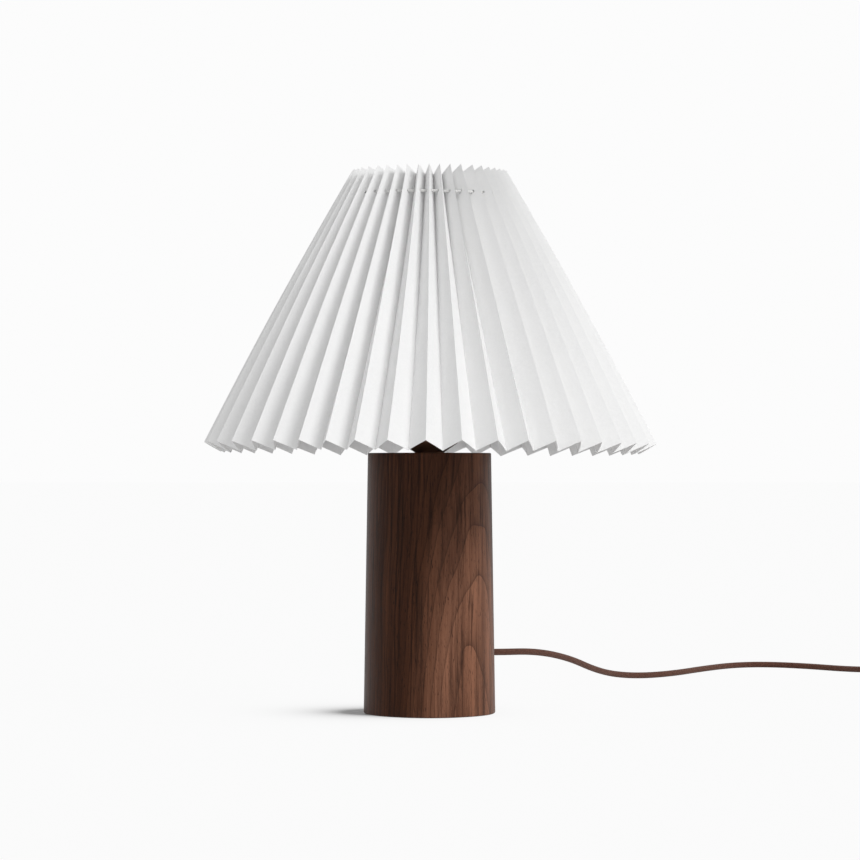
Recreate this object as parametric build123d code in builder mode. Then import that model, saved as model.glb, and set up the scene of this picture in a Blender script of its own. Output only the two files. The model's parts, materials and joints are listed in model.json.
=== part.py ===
from build123d import *
from math import atan2, cos, hypot, pi, radians, sin, sqrt, tan
import os

# A table lamp: a turned wooden column, a pleated paper shade that hangs on a wire carrier, and a
# fabric-covered lead with a rocker switch and a plug. Millimetres. The origin is in the middle of
# the foot, on the table. +Z is up, -Y is the front, and the lead leaves at the back, towards +Y.
os.makedirs("parts", exist_ok=True)

# ---------------------------------------------------------------- driving dimensions
# Clearances
fit = 0.1  # round the shank of a fastener, and where a piece slips into a bore
slip = 0.3  # between a piece that moves and what it moves past
weld = 0.4  # how far welded wires sink into each other

# Wooden column
column_height = 224.0
column_bottom_d = 113.0
column_top_d = 106.0
column_bottom_round = 1.5
column_top_round = 0.8
table_gap = 0.8  # the felt holds the wood this far off the table

# Foot: felt, cover, ballast
felt_thickness = 1.5
felt_d = 96.4
cover_thickness = 2.0
cover_d = 97.4
cover_side_gap = 0.3
ballast_d = 88.4
ballast_thickness = 22.0
ballast_side_gap = 0.3
cover_screw_d = 3.0
cover_screw_head_d = 5.6
cover_screw_head_height = 1.2
cover_screw_length = 9.0
cover_screw_circle_d = 44.0
cover_screw_count = 3
ballast_screw_d = 4.0
ballast_screw_head_d = 8.0
ballast_screw_head_height = 3.4
ballast_screw_length = 38.0
ballast_screw_count = 3

# Wiring chamber inside the column, and the threaded pipe up its middle
chamber_d = 70.0
chamber_height = 62.5
pipe_d = 10.0
pipe_bore_d = 8.0
pipe_below_nut = 6.0
pipe_above_column = 17.0
pipe_washer_d = 24.0
pipe_washer_thickness = 1.5
pipe_nut_width = 15.0
pipe_nut_height = 6.0
cup_nut_width = 14.0
cup_nut_height = 4.0

# Lead
lead_d = 6.0
lead_bend_radius = 22.0  # from the back wall up into the pipe
core_d = 2.2
core_spacing = 3.0
core_bend_radius = 1.32

# Strain relief in the back wall
relief_stem_d = 10.8
relief_flange_d = 14.0
relief_flange_thickness = 2.4
relief_seat_depth = 1.0  # how deep its flat seat is cut into the round wall
relief_nose_d = 11.2
relief_tip_d = 8.2
relief_nut_d = 18.0
relief_nut_thickness = 4.0

# Spun cup that the lampholder stands in
cup_wall = 1.0
cup_foot_d = 24.0
cup_d = 50.0
cup_flare_height = 9.0
cup_height = 34.0
cup_shoulder_round = 4.0

# Lampholder
cap_above_nut = 0.5
cap_boss_d = 18.0
cap_d = 38.0
cap_height = 20.5
cap_wall = 2.5
cap_floor = 4.5
cap_ledge = 2.0  # width of the ledge that carries the contact block
cap_rim = 3.0  # height of the wall above that ledge
block_thickness = 8.0
terminal_x = 9.0
terminal_screw_d = 2.5
terminal_head_d = 4.0
terminal_head_height = 2.0
terminal_height = 2.5  # above the underside of the block
socket_bore_d = 26.6
socket_wall = 0.4
socket_depth = 26.0
socket_lip = 3.0  # width of its inturned foot
tongue_width = 6.0
tongue_thickness = 0.5
tongue_foot = 9.0  # from the axis to the riveted end
tongue_rise = 3.0
sleeve_d = 39.0
sleeve_height = 38.0
sleeve_flange_d = 45.0
sleeve_flange_thickness = 2.5
sleeve_flange_height = 12.0  # above the foot of the sleeve
sleeve_mouth_d = 26.9
sleeve_rim_round = 1.5

# Shade carrier
hub_d = 72.0
hub_thickness = 1.5
ring_nut_d = 54.0
ring_nut_height = 6.0
ring_nut_notches = 16
ring_nut_notch_d = 3.2
arm_d = 3.5
arm_count = 3
arm_weld_length = 7.0
arm_reach = 44.0  # how far out the arm bends upwards
arm_bend_radius = 12.0
carrier_ring_below_tips = 29.5
carrier_wire_d = 3.0

# Bulb, an opal one with a 26 mm screw cap
bulb_cap_d = 25.9
bulb_thread_depth = 0.9
bulb_thread_pitch = 3.6
bulb_thread_turns = 6
bulb_cap_wall = 0.7
bulb_contact_d = 9.5
bulb_contact_thickness = 1.2
bulb_insulator_height = 2.7
globe_d = 60.0
globe_wall = 1.0
globe_neck_d = 34.0
globe_centre_above_neck = 35.0
globe_tangent_angle = 28.0
collar_height = 13.6
collar_wall = 1.2
collar_mouth_d = 28.8
neck_seat_depth = 5.0
led_board_thickness = 1.6

# Pleated shade. A crest is an outer fold, a valley an inner one. All are straight lines.
pleat_count = 44
front_crest_angle = -91.0  # the crest nearest the front stands a little to the left
hem_crest_radius = 194.5
hem_crest_height = 233.3
hem_pleat_depth = 14.9
top_crest_radius = 66.7
top_crest_height = 467.5
top_pleat_depth = 14.2
paper_thickness = 0.4
seam_thickness = 0.3
seam_pleat = 22  # counted from the front crest
seam_clear_share = 0.12  # how far the strip stops short of both folds

# Draw string through the panels, near the top
string_below_tips = 23.5
string_d = 2.6
string_hole_gap = 0.3
knot_d = 4.6
knot_outward = 3.2

# Free lead on the table
switch_length = 60.0
switch_heading = -70.0
coil_pitch = 6.6
coil_layer_height = 7.2
coil_outer_radius = 42.0
coil_centre = (470.0, 310.0)
coil_flat_half_turns = 2  # in each layer, before the climb
tie_thickness = 0.8
tie_width = 12.0
tie_gap = 0.2

# The route of the lead, chosen by hand: out of the back, down to the table and round to the side
route_to_switch = [
    (0, 78, 46),
    (0, 100, 46),
    (22, 134, 45),
    (62, 166, 43),
    (99, 215, 41),
    (132, 278, 31),
    (161, 350, 15),
    (184, 405, 6.5),
    (212, 437, 3),
    (247, 472, 3),
    (286, 549, 3),
    (322, 605, 3),
    (358, 617, 3),
    (396, 590, 3),
    (430, 544, 3),
    (452, 506, 4.5),
    (463, 479, 9),
    (468.5, 464, 9),
]
route_to_coil = [
    (489, 407.6, 9),
    (494.5, 392.6, 9),
    (505, 366, 5),
    (512, 341, 4),
    (512, 316, 4),
]
route_to_plug = [
    (512, 304, 11.2),
    (512, 291, 11.2),
    (508, 270, 9.6),
    (501, 252, 9.6),
]

# Rocker switch on the lead
switch_width = 24.0
switch_base_height = 9.0
switch_cover_height = 8.0
switch_corner = 8.0
switch_edge_round = 2.0
switch_wall = 2.0
rocker_length = 17.0
rocker_width = 9.0
rocker_side_gap = 0.5
rocker_end_gap = 1.6
rocker_pivot_height = 12.6
rocker_top_above_pivot = 5.6
rocker_dish = 1.0  # how much lower its middle is than its ends
rocker_foot = 3.0  # how far it reaches below its pin
rocker_travel = 14.0  # degrees from off to on
rocker_pin_d = 2.0
rocker_pin_length = 13.0
rocker_pin_gap = 0.1
switch_screw_d = 2.5
switch_screw_head_d = 4.5
switch_screw_head_height = 1.5
switch_screw_x = 20.0
switch_screw_y = 7.5
contact_length = 7.0
contact_width = 5.0
contact_height = 4.5

# Two-pin plug
plug_width = 26.0
plug_height = 19.2
plug_length = 24.0
plug_corner = 5.0
plug_edge_round = 1.6
boot_large_d = 14.0
boot_tip_d = 9.0
boot_length = 18.0
blade_length = 17.0
blade_width = 6.3
blade_thickness = 1.5
blade_spacing = 12.7

# ---------------------------------------------------------------- places that follow
cover_bottom = felt_thickness
cover_top = cover_bottom + cover_thickness
ballast_top = cover_top + ballast_thickness
chamber_ceiling = ballast_top + chamber_height
chamber_radius = chamber_d / 2
recess_radius = cover_d / 2 + cover_side_gap
pocket_radius = ballast_d / 2 + ballast_side_gap
pipe_hole_radius = pipe_d / 2 + slip
column_bottom_radius = column_bottom_d / 2
column_top_radius = column_top_d / 2
ballast_screw_circle = (pocket_radius + chamber_radius) / 2
ballast_head_seat = cover_top + ballast_screw_head_height + fit

pipe_nut_bottom = chamber_ceiling - pipe_washer_thickness - pipe_nut_height
pipe_bottom = pipe_nut_bottom - pipe_below_nut
pipe_top = column_height + pipe_above_column
cup_nut_top = column_height + cup_wall + cup_nut_height
cap_bottom = cup_nut_top + cap_above_nut
cap_top = cap_bottom + cap_height
block_bottom = cap_top - cap_rim
block_top = block_bottom + block_thickness
socket_top = block_top + socket_depth
sleeve_top = cap_top + sleeve_height
hub_bottom = cap_top + sleeve_flange_height + sleeve_flange_thickness
hub_top = hub_bottom + hub_thickness

string_height = top_crest_height - string_below_tips
carrier_ring_height = top_crest_height - carrier_ring_below_tips

relief_tip, lead_height = route_to_switch[0][1:]
wall_taper = (column_bottom_radius - column_top_radius) / (column_height - table_gap)
wall_radius_at_lead = column_bottom_radius - wall_taper * (lead_height - table_gap)
relief_seat = wall_radius_at_lead - relief_seat_depth
relief_nut_face = sqrt(chamber_radius**2 - (relief_nut_d / 2) ** 2) - fit / 2
relief_nut_back = relief_nut_face - relief_nut_thickness

lead_radius = lead_d / 2
lead_axis = Axis((0, 0, lead_height), (0, 1, 0))
lead_profile_plane = Plane(origin=(0, 0, lead_height), x_dir=(0, 1, 0), z_dir=(1, 0, 0))


def facing_back(y):
    """A plane square to the lead's exit, facing +Y."""
    return Plane(origin=(0, y, lead_height), x_dir=(-1, 0, 0), z_dir=(0, 1, 0))


def turned(outline):
    """Turns a closed outline of (radius, height) points round the lamp's axis, inside a part."""
    with BuildSketch(Plane.XZ) as profile:
        with BuildLine():
            Polyline(*outline, close=True)
        make_face()
    revolve(profile.sketch, axis=Axis.Z)


def drilled(plane, radius, depth, centre=(0, 0)):
    """Drills a round hole into the part being made, along the plane's normal."""
    with BuildSketch(plane) as mouth:
        with Locations(centre):
            Circle(radius)
    extrude(mouth.sketch, amount=depth, mode=Mode.SUBTRACT)


# ---------------------------------------------------------------- wooden column
with BuildPart() as wood_column:
    turned(
        [
            (pipe_hole_radius, chamber_ceiling),
            (chamber_radius, chamber_ceiling),
            (chamber_radius, ballast_top),
            (pocket_radius, ballast_top),
            (pocket_radius, cover_top),
            (recess_radius, cover_top),
            (recess_radius, table_gap),
            (column_bottom_radius, table_gap),
            (column_top_radius, column_height),
            (pipe_hole_radius, column_height),
        ]
    )
    rims = wood_column.edges().filter_by(GeomType.CIRCLE).group_by(Axis.Z)
    fillet(rims[0].sort_by(SortBy.RADIUS)[-1], column_bottom_round)
    fillet(rims[-1].sort_by(SortBy.RADIUS)[-1], column_top_round)
    drilled(facing_back(chamber_radius / 2), relief_stem_d / 2 + fit, column_bottom_radius)
    drilled(facing_back(relief_seat), relief_flange_d / 2 + slip, column_bottom_radius)
    with BuildSketch(Plane.XY.offset(ballast_top)):
        with PolarLocations(ballast_screw_circle, ballast_screw_count, start_angle=-90):
            Circle(ballast_screw_d / 2 + fit / 2)
    extrude(amount=ballast_head_seat + ballast_screw_length + fit - ballast_top, mode=Mode.SUBTRACT)
wood_column.part.label = "wood_column"
export_step(wood_column.part, "parts/wood_column.step")

# ---------------------------------------------------------------- ballast disc and its screws
with BuildPart() as ballast_disc:
    with BuildSketch(Plane.XY.offset(cover_top)):
        Circle(ballast_d / 2)
    extrude(amount=ballast_thickness)
    with BuildSketch(Plane.XY.offset(cover_top)):
        with PolarLocations(ballast_screw_circle, ballast_screw_count, start_angle=-90):
            Circle(ballast_screw_d / 2 + fit)
    extrude(amount=ballast_thickness, mode=Mode.SUBTRACT)
    with BuildSketch(Plane.XY.offset(cover_top)):
        with PolarLocations(ballast_screw_circle, ballast_screw_count, start_angle=-90):
            Circle(ballast_screw_head_d / 2 + slip)
    extrude(amount=ballast_head_seat - cover_top, mode=Mode.SUBTRACT)
    with BuildSketch(Plane.XY.offset(cover_top)):
        with PolarLocations(cover_screw_circle_d / 2, cover_screw_count):
            Circle(cover_screw_d / 2 + fit / 2)
    extrude(amount=cover_screw_length, mode=Mode.SUBTRACT)
    bottom_edge = ballast_disc.edges().filter_by(GeomType.CIRCLE).group_by(Axis.Z)[-1]
    chamfer(bottom_edge.sort_by(SortBy.RADIUS)[-1], 1.0)
ballast_disc.part.label = "ballast_disc"
export_step(ballast_disc.part, "parts/ballast_disc.step")

with BuildPart() as ballast_screws:
    with BuildSketch(Plane.XY.offset(ballast_head_seat - ballast_screw_head_height)):
        with PolarLocations(ballast_screw_circle, ballast_screw_count, start_angle=-90):
            Circle(ballast_screw_head_d / 2)
    extrude(amount=ballast_screw_head_height)
    with BuildSketch(Plane.XY.offset(ballast_head_seat)):
        with PolarLocations(ballast_screw_circle, ballast_screw_count, start_angle=-90):
            Circle(ballast_screw_d / 2)
    extrude(amount=ballast_screw_length)
    with BuildSketch(Plane.XY.offset(ballast_head_seat - ballast_screw_head_height)):
        with PolarLocations(ballast_screw_circle, ballast_screw_count, start_angle=-90):
            RegularPolygon(ballast_screw_d / 2, 6)
    extrude(amount=ballast_screw_head_height / 2, mode=Mode.SUBTRACT)
ballast_screws.part.label = "ballast_screws"
export_step(ballast_screws.part, "parts/ballast_screws.step")

# ---------------------------------------------------------------- bottom cover, its screws and the felt
with BuildPart() as bottom_cover:
    with BuildSketch(Plane.XY.offset(cover_bottom)):
        Circle(cover_d / 2)
    extrude(amount=cover_thickness)
    with BuildSketch(Plane.XY.offset(cover_bottom)):
        with PolarLocations(cover_screw_circle_d / 2, cover_screw_count):
            Circle(cover_screw_d / 2 + fit)
    extrude(amount=cover_thickness, mode=Mode.SUBTRACT)
    with BuildSketch(Plane.XY.offset(cover_bottom)):
        with PolarLocations(cover_screw_circle_d / 2, cover_screw_count):
            Circle(cover_screw_head_d / 2 + fit)
    extrude(amount=cover_screw_head_height, mode=Mode.SUBTRACT)
bottom_cover.part.label = "bottom_cover"
export_step(bottom_cover.part, "parts/bottom_cover.step")

with BuildPart() as cover_screws:
    with BuildSketch(Plane.XY.offset(cover_bottom)):
        with PolarLocations(cover_screw_circle_d / 2, cover_screw_count):
            Circle(cover_screw_head_d / 2)
    extrude(amount=cover_screw_head_height)
    with BuildSketch(Plane.XY.offset(cover_bottom + cover_screw_head_height)):
        with PolarLocations(cover_screw_circle_d / 2, cover_screw_count):
            Circle(cover_screw_d / 2)
    extrude(amount=cover_screw_length)
cover_screws.part.label = "cover_screws"
export_step(cover_screws.part, "parts/cover_screws.step")

with BuildPart() as felt_pad:
    with BuildSketch():
        Circle(felt_d / 2)
    extrude(amount=felt_thickness)
felt_pad.part.label = "felt_pad"
export_step(felt_pad.part, "parts/felt_pad.step")

# ---------------------------------------------------------------- threaded pipe, nuts and washer
with BuildPart() as lamp_pipe:
    with BuildSketch(Plane.XY.offset(pipe_bottom)):
        Circle(pipe_d / 2)
        Circle(pipe_bore_d / 2, mode=Mode.SUBTRACT)
    extrude(amount=pipe_top - pipe_bottom)
lamp_pipe.part.label = "lamp_pipe"
export_step(lamp_pipe.part, "parts/lamp_pipe.step")

with BuildPart() as pipe_washer:
    with BuildSketch(Plane.XY.offset(chamber_ceiling - pipe_washer_thickness)):
        Circle(pipe_washer_d / 2)
        Circle(pipe_d / 2 + fit, mode=Mode.SUBTRACT)
    extrude(amount=pipe_washer_thickness)
pipe_washer.part.label = "pipe_washer"
export_step(pipe_washer.part, "parts/pipe_washer.step")

with BuildPart() as pipe_nut:
    with BuildSketch(Plane.XY.offset(pipe_nut_bottom)):
        RegularPolygon(pipe_nut_width / 2, 6, major_radius=False)
        Circle(pipe_d / 2 + fit / 2, mode=Mode.SUBTRACT)
    extrude(amount=pipe_nut_height)
pipe_nut.part.label = "pipe_nut"
export_step(pipe_nut.part, "parts/pipe_nut.step")

with BuildPart() as cup_nut:
    with BuildSketch(Plane.XY.offset(column_height + cup_wall)):
        RegularPolygon(cup_nut_width / 2, 6, major_radius=False)
        Circle(pipe_d / 2 + fit / 2, mode=Mode.SUBTRACT)
    extrude(amount=cup_nut_height)
cup_nut.part.label = "cup_nut"
export_step(cup_nut.part, "parts/cup_nut.step")

# ---------------------------------------------------------------- strain relief and the lead inside
with BuildPart() as strain_relief:
    with BuildSketch(lead_profile_plane):
        with BuildLine():
            Polyline(
                (relief_nut_back - 1, lead_radius + 2 * fit),
                (relief_nut_back - 1, relief_stem_d / 2),
                (relief_seat, relief_stem_d / 2),
                (relief_seat, relief_flange_d / 2),
                (relief_seat + relief_flange_thickness, relief_flange_d / 2),
                (relief_seat + relief_flange_thickness, relief_nose_d / 2),
                (relief_tip, relief_tip_d / 2),
                (relief_tip, lead_radius + 2 * fit),
                close=True,
            )
        make_face()
    revolve(axis=lead_axis)
    flange_rim = strain_relief.edges().filter_by(GeomType.CIRCLE).sort_by(SortBy.RADIUS)[-2:]
    fillet(flange_rim.sort_by(Axis.Y)[-1], relief_flange_thickness / 3)
strain_relief.part.label = "strain_relief"
export_step(strain_relief.part, "parts/strain_relief.step")

with BuildPart() as relief_nut:
    with BuildSketch(facing_back(relief_nut_back)):
        Circle(relief_nut_d / 2)
        Circle(relief_stem_d / 2 + fit / 2, mode=Mode.SUBTRACT)
    extrude(amount=relief_nut_thickness)
relief_nut.part.label = "relief_nut"
export_step(relief_nut.part, "parts/relief_nut.step")

with BuildPart() as inner_lead:
    with BuildLine():
        FilletPolyline(
            (0, relief_tip, lead_height),
            (0, 0, lead_height),
            (0, 0, pipe_top),
            radius=lead_bend_radius,
        )
    with BuildSketch(facing_back(relief_tip)):
        Circle(lead_radius)
    sweep()
inner_lead.part.label = "inner_lead"
export_step(inner_lead.part, "parts/inner_lead.step")

core_end = block_bottom + terminal_height + core_d / 2
with BuildPart() as core_wires:
    for side in (-1, 1):
        with BuildLine():
            FilletPolyline(
                (side * core_spacing / 2, 0, pipe_top),
                (side * core_spacing / 2, 0, pipe_top + core_d),
                (side * terminal_x, 0, block_bottom - core_d),
                (side * terminal_x, 0, core_end),
                radius=core_bend_radius,
            )
        with BuildSketch(Plane.XY.offset(pipe_top)):
            with Locations((side * core_spacing / 2, 0)):
                Circle(core_d / 2)
        sweep()
core_wires.part.label = "core_wires"
export_step(core_wires.part, "parts/core_wires.step")

# ---------------------------------------------------------------- cup on top of the column
cup_top = column_height + cup_height
flare_top = column_height + cup_flare_height
with BuildPart() as socket_cup:
    turned(
        [
            (pipe_hole_radius, column_height),
            (cup_foot_d / 2, column_height),
            (cup_foot_d / 2 + cup_wall, column_height + cup_wall),
            (cup_d / 2, flare_top),
            (cup_d / 2, cup_top),
            (cup_d / 2 - cup_wall, cup_top),
            (cup_d / 2 - cup_wall, flare_top + cup_wall / 2),
            (cup_foot_d / 2 - cup_wall, column_height + cup_wall),
            (pipe_hole_radius, column_height + cup_wall),
        ]
    )
    circles = socket_cup.edges().filter_by(GeomType.CIRCLE)
    shoulders = circles.filter_by_position(Axis.Z, flare_top - fit, flare_top + cup_wall)
    fillet(shoulders.sort_by(SortBy.RADIUS)[-1], cup_shoulder_round)
    fillet(shoulders.sort_by(SortBy.RADIUS)[0], cup_shoulder_round - cup_wall)
socket_cup.part.label = "socket_cup"
export_step(socket_cup.part, "parts/socket_cup.step")

# ---------------------------------------------------------------- lampholder
cap_radius = cap_d / 2
cap_flare = cap_radius - cap_boss_d / 2
cap_inner_radius = cap_radius - cap_wall
ledge_radius = cap_inner_radius - cap_ledge
boss_radius = pipe_d / 2 + fit
inner_flare_bottom = cap_bottom + cap_floor
with BuildPart() as lampholder_cap:
    turned(
        [
            (boss_radius, cap_bottom),
            (cap_boss_d / 2, cap_bottom),
            (cap_radius, cap_bottom + cap_flare),
            (cap_radius, cap_top),
            (cap_inner_radius, cap_top),
            (cap_inner_radius, block_bottom),
            (ledge_radius, block_bottom),
            (ledge_radius, inner_flare_bottom + ledge_radius - cap_boss_d / 2),
            (cap_boss_d / 2, inner_flare_bottom),
            (boss_radius + cap_wall, inner_flare_bottom),
            (boss_radius + cap_wall, pipe_top - cap_wall),
            (boss_radius, pipe_top - cap_wall),
        ]
    )
lampholder_cap.part.label = "lampholder_cap"
export_step(lampholder_cap.part, "parts/lampholder_cap.step")

block_radius = cap_inner_radius - slip
terminal_z = block_bottom + terminal_height
terminal_head_seat = block_radius - terminal_head_height - fit
with BuildPart() as contact_block:
    with BuildSketch(Plane.XY.offset(block_bottom)):
        Circle(block_radius)
    extrude(amount=block_thickness)
    for side in (-1, 1):
        drilled(Plane.XY.offset(block_bottom), core_d / 2 + fit, core_end - block_bottom + fit,
                (side * terminal_x, 0))
        outward = Plane(origin=(0, 0, terminal_z), x_dir=(0, 1, 0), z_dir=(side, 0, 0))
        drilled(outward.offset(terminal_x), terminal_screw_d / 2 + fit, block_radius)
        drilled(outward.offset(terminal_head_seat), terminal_head_d / 2 + fit, block_radius)
contact_block.part.label = "contact_block"
export_step(contact_block.part, "parts/contact_block.step")

with BuildPart() as terminal_screws:
    for side in (-1, 1):
        outward = Plane(origin=(0, 0, terminal_z), x_dir=(0, 1, 0), z_dir=(side, 0, 0))
        with BuildSketch(outward.offset(terminal_x + core_d / 2 + fit / 2)):
            Circle(terminal_screw_d / 2)
        extrude(amount=terminal_head_seat - terminal_x - core_d / 2 - fit / 2)
        with BuildSketch(outward.offset(terminal_head_seat)):
            Circle(terminal_head_d / 2)
        extrude(amount=terminal_head_height)
        with BuildSketch(outward.offset(terminal_head_seat + terminal_head_height / 2)):
            Rectangle(terminal_head_d * 1.1, terminal_head_d / 6)
        extrude(amount=terminal_head_height, mode=Mode.SUBTRACT)
terminal_screws.part.label = "terminal_screws"
export_step(terminal_screws.part, "parts/terminal_screws.step")

socket_radius = socket_bore_d / 2
with BuildPart() as screw_socket:
    turned(
        [
            (socket_radius - socket_lip, block_top),
            (socket_radius + socket_wall, block_top),
            (socket_radius + socket_wall, socket_top),
            (socket_radius, socket_top),
            (socket_radius, block_top + socket_wall),
            (socket_radius - socket_lip, block_top + socket_wall),
        ]
    )
screw_socket.part.label = "screw_socket"
export_step(screw_socket.part, "parts/screw_socket.step")

with BuildPart() as centre_contact:
    with BuildSketch(Plane.XZ.offset(-tongue_width / 2)):
        with BuildLine():
            Polyline(
                (-tongue_foot, block_top),
                (-tongue_foot / 2, block_top),
                (0, block_top + tongue_rise - tongue_thickness),
                (tongue_foot / 3, block_top + tongue_rise - tongue_thickness),
                (tongue_foot / 3, block_top + tongue_rise),
                (-tongue_thickness / 2, block_top + tongue_rise),
                (-tongue_foot / 2 - tongue_thickness / 2, block_top + tongue_thickness),
                (-tongue_foot, block_top + tongue_thickness),
                close=True,
            )
        make_face()
    extrude(amount=tongue_width)
centre_contact.part.label = "centre_contact"
export_step(centre_contact.part, "parts/centre_contact.step")

sleeve_radius = sleeve_d / 2
flange_bottom = cap_top + sleeve_flange_height
with BuildPart() as lampholder_sleeve:
    turned(
        [
            (cap_inner_radius, cap_top),
            (sleeve_radius, cap_top),
            (sleeve_radius, flange_bottom),
            (sleeve_flange_d / 2, flange_bottom),
            (sleeve_flange_d / 2, hub_bottom),
            (sleeve_radius, hub_bottom),
            (sleeve_radius, sleeve_top),
            (sleeve_mouth_d / 2, sleeve_top),
            (sleeve_mouth_d / 2, socket_top + slip),
            (socket_radius + socket_wall + fit, socket_top + slip),
            (socket_radius + socket_wall + fit, block_top + 1),
            (cap_inner_radius, block_top + 1),
        ]
    )
    top_rims = lampholder_sleeve.edges().filter_by(GeomType.CIRCLE).group_by(Axis.Z)[-1]
    fillet(top_rims.sort_by(SortBy.RADIUS)[-1], sleeve_rim_round)
lampholder_sleeve.part.label = "lampholder_sleeve"
export_step(lampholder_sleeve.part, "parts/lampholder_sleeve.step")

with BuildPart() as shade_ring_nut:
    with BuildSketch(Plane.XY.offset(hub_top)):
        Circle(ring_nut_d / 2)
        Circle(sleeve_radius + fit, mode=Mode.SUBTRACT)
        with PolarLocations(ring_nut_d / 2, ring_nut_notches):
            Circle(ring_nut_notch_d / 2, mode=Mode.SUBTRACT)
    extrude(amount=ring_nut_height)
shade_ring_nut.part.label = "shade_ring_nut"
export_step(shade_ring_nut.part, "parts/shade_ring_nut.step")

# ---------------------------------------------------------------- lines of the shade
crest_slope = (hem_crest_radius - top_crest_radius) / (top_crest_height - hem_crest_height)
crest_lean = atan2(crest_slope, 1)
# Both ends of the pleated strip are cut square to its folds, so valleys end lower than crests.
hem_valley_radius = hem_crest_radius - hem_pleat_depth
hem_valley_height = hem_crest_height - hem_pleat_depth * tan(crest_lean)
top_valley_radius = top_crest_radius - top_pleat_depth
top_valley_height = top_crest_height - top_pleat_depth * tan(crest_lean)
valley_slope = (hem_valley_radius - top_valley_radius) / (top_valley_height - hem_valley_height)
half_pleat = pi / pleat_count


def crest_radius(z):
    return top_crest_radius + (top_crest_height - z) * crest_slope


def valley_radius(z):
    return top_valley_radius + (top_valley_height - z) * valley_slope


def fold_offsets(z, distance):
    """How far the crests and the valleys move out when the panels move out by distance."""
    crest, valley = crest_radius(z), valley_radius(z)
    panel = hypot(crest - valley * cos(half_pleat), valley * sin(half_pleat))
    at_crest = distance * panel / (valley * sin(half_pleat))
    at_valley = distance * panel / (crest * sin(half_pleat))
    return at_crest, at_valley


def star(z, distance):
    """The pleated outline at height z, moved out by distance from the middle of the paper."""
    at_crest, at_valley = fold_offsets(z, distance)
    start = radians(front_crest_angle)
    corners = []
    for pleat in range(pleat_count):
        crest_angle = start + 2 * pleat * half_pleat
        valley_angle = crest_angle + half_pleat
        out, back = crest_radius(z) + at_crest, valley_radius(z) + at_valley
        corners.append((out * cos(crest_angle), out * sin(crest_angle)))
        corners.append((back * cos(valley_angle), back * sin(valley_angle)))
    return corners


def along_cut(radius, height, step):
    """A point on the strip's square-cut end, a step further out than the given one."""
    return (radius + step * cos(crest_lean), height + step * sin(crest_lean))


trim = 10.0  # how far the untrimmed strip runs past its ends
strip_bottom = hem_valley_height - trim
strip_top = top_crest_height + trim
inward = 2 * hem_pleat_depth
band = [
    along_cut(hem_crest_radius, hem_crest_height, -inward),
    along_cut(hem_crest_radius, hem_crest_height, inward),
    along_cut(top_crest_radius, top_crest_height, inward),
    along_cut(top_crest_radius, top_crest_height, -inward),
]
string_radius = (crest_radius(string_height) + valley_radius(string_height)) / 2


def trimmed():
    """Cuts the part being made to the strip's square ends."""
    with BuildSketch(Plane.XZ) as profile:
        with BuildLine():
            Polyline(*band, close=True)
        make_face()
    revolve(profile.sketch, axis=Axis.Z, mode=Mode.INTERSECT)


def threaded_for_string():
    """Opens the holes that the draw string passes through."""
    with BuildSketch(Plane.XZ) as profile:
        with Locations((string_radius, string_height)):
            Circle(string_d / 2 + string_hole_gap)
    revolve(profile.sketch, axis=Axis.Z, mode=Mode.SUBTRACT)


# ---------------------------------------------------------------- shade carrier
with BuildPart() as carrier_hub:
    with BuildSketch(Plane.XY.offset(hub_bottom)):
        Circle(hub_d / 2)
        Circle(sleeve_radius + slip, mode=Mode.SUBTRACT)
    extrude(amount=hub_thickness)
carrier_hub.part.label = "carrier_hub"
export_step(carrier_hub.part, "parts/carrier_hub.step")

# The ring lies against the inner folds, a slip away from the paper.
inner_fold = valley_radius(carrier_ring_height) - fold_offsets(carrier_ring_height, paper_thickness / 2)[1]
carrier_ring_radius = inner_fold - (carrier_wire_d / 2 + slip) / cos(crest_lean)
with BuildPart() as carrier_ring:
    with BuildSketch(Plane.XZ):
        with Locations((carrier_ring_radius, carrier_ring_height)):
            Circle(carrier_wire_d / 2)
    revolve(axis=Axis.Z)
carrier_ring.part.label = "carrier_ring"
export_step(carrier_ring.part, "parts/carrier_ring.step")

arm_height = hub_top + arm_d / 2 - weld
arm_start = hub_d / 2 - arm_weld_length
with BuildPart() as carrier_arms:
    for number in range(arm_count):
        angle = radians(90 + 360 / arm_count * number)
        direction = (cos(angle), sin(angle), 0)
        with BuildLine():
            FilletPolyline(
                (arm_start * cos(angle), arm_start * sin(angle), arm_height),
                (arm_reach * cos(angle), arm_reach * sin(angle), arm_height),
                (
                    carrier_ring_radius * cos(angle),
                    carrier_ring_radius * sin(angle),
                    carrier_ring_height - carrier_wire_d / 2 + weld,
                ),
                radius=arm_bend_radius,
            )
        start = (arm_start * cos(angle), arm_start * sin(angle), arm_height)
        with BuildSketch(Plane(origin=start, z_dir=direction)):
            Circle(arm_d / 2)
        sweep()
carrier_arms.part.label = "carrier_arms"
export_step(carrier_arms.part, "parts/carrier_arms.step")

# ---------------------------------------------------------------- pleated shade
with BuildPart() as pleated_shade:
    for z in (strip_bottom, strip_top):
        with BuildSketch(Plane.XY.offset(z)):
            with BuildLine():
                Polyline(*star(z, paper_thickness / 2), close=True)
            make_face()
    loft(ruled=True)
    for z in (strip_bottom, strip_top):
        with BuildSketch(Plane.XY.offset(z)):
            with BuildLine():
                Polyline(*star(z, -paper_thickness / 2), close=True)
            make_face()
    loft(ruled=True, mode=Mode.SUBTRACT)
    trimmed()
    threaded_for_string()
pleated_shade.part.label = "pleated_shade"
export_step(pleated_shade.part, "parts/pleated_shade.step")


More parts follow.
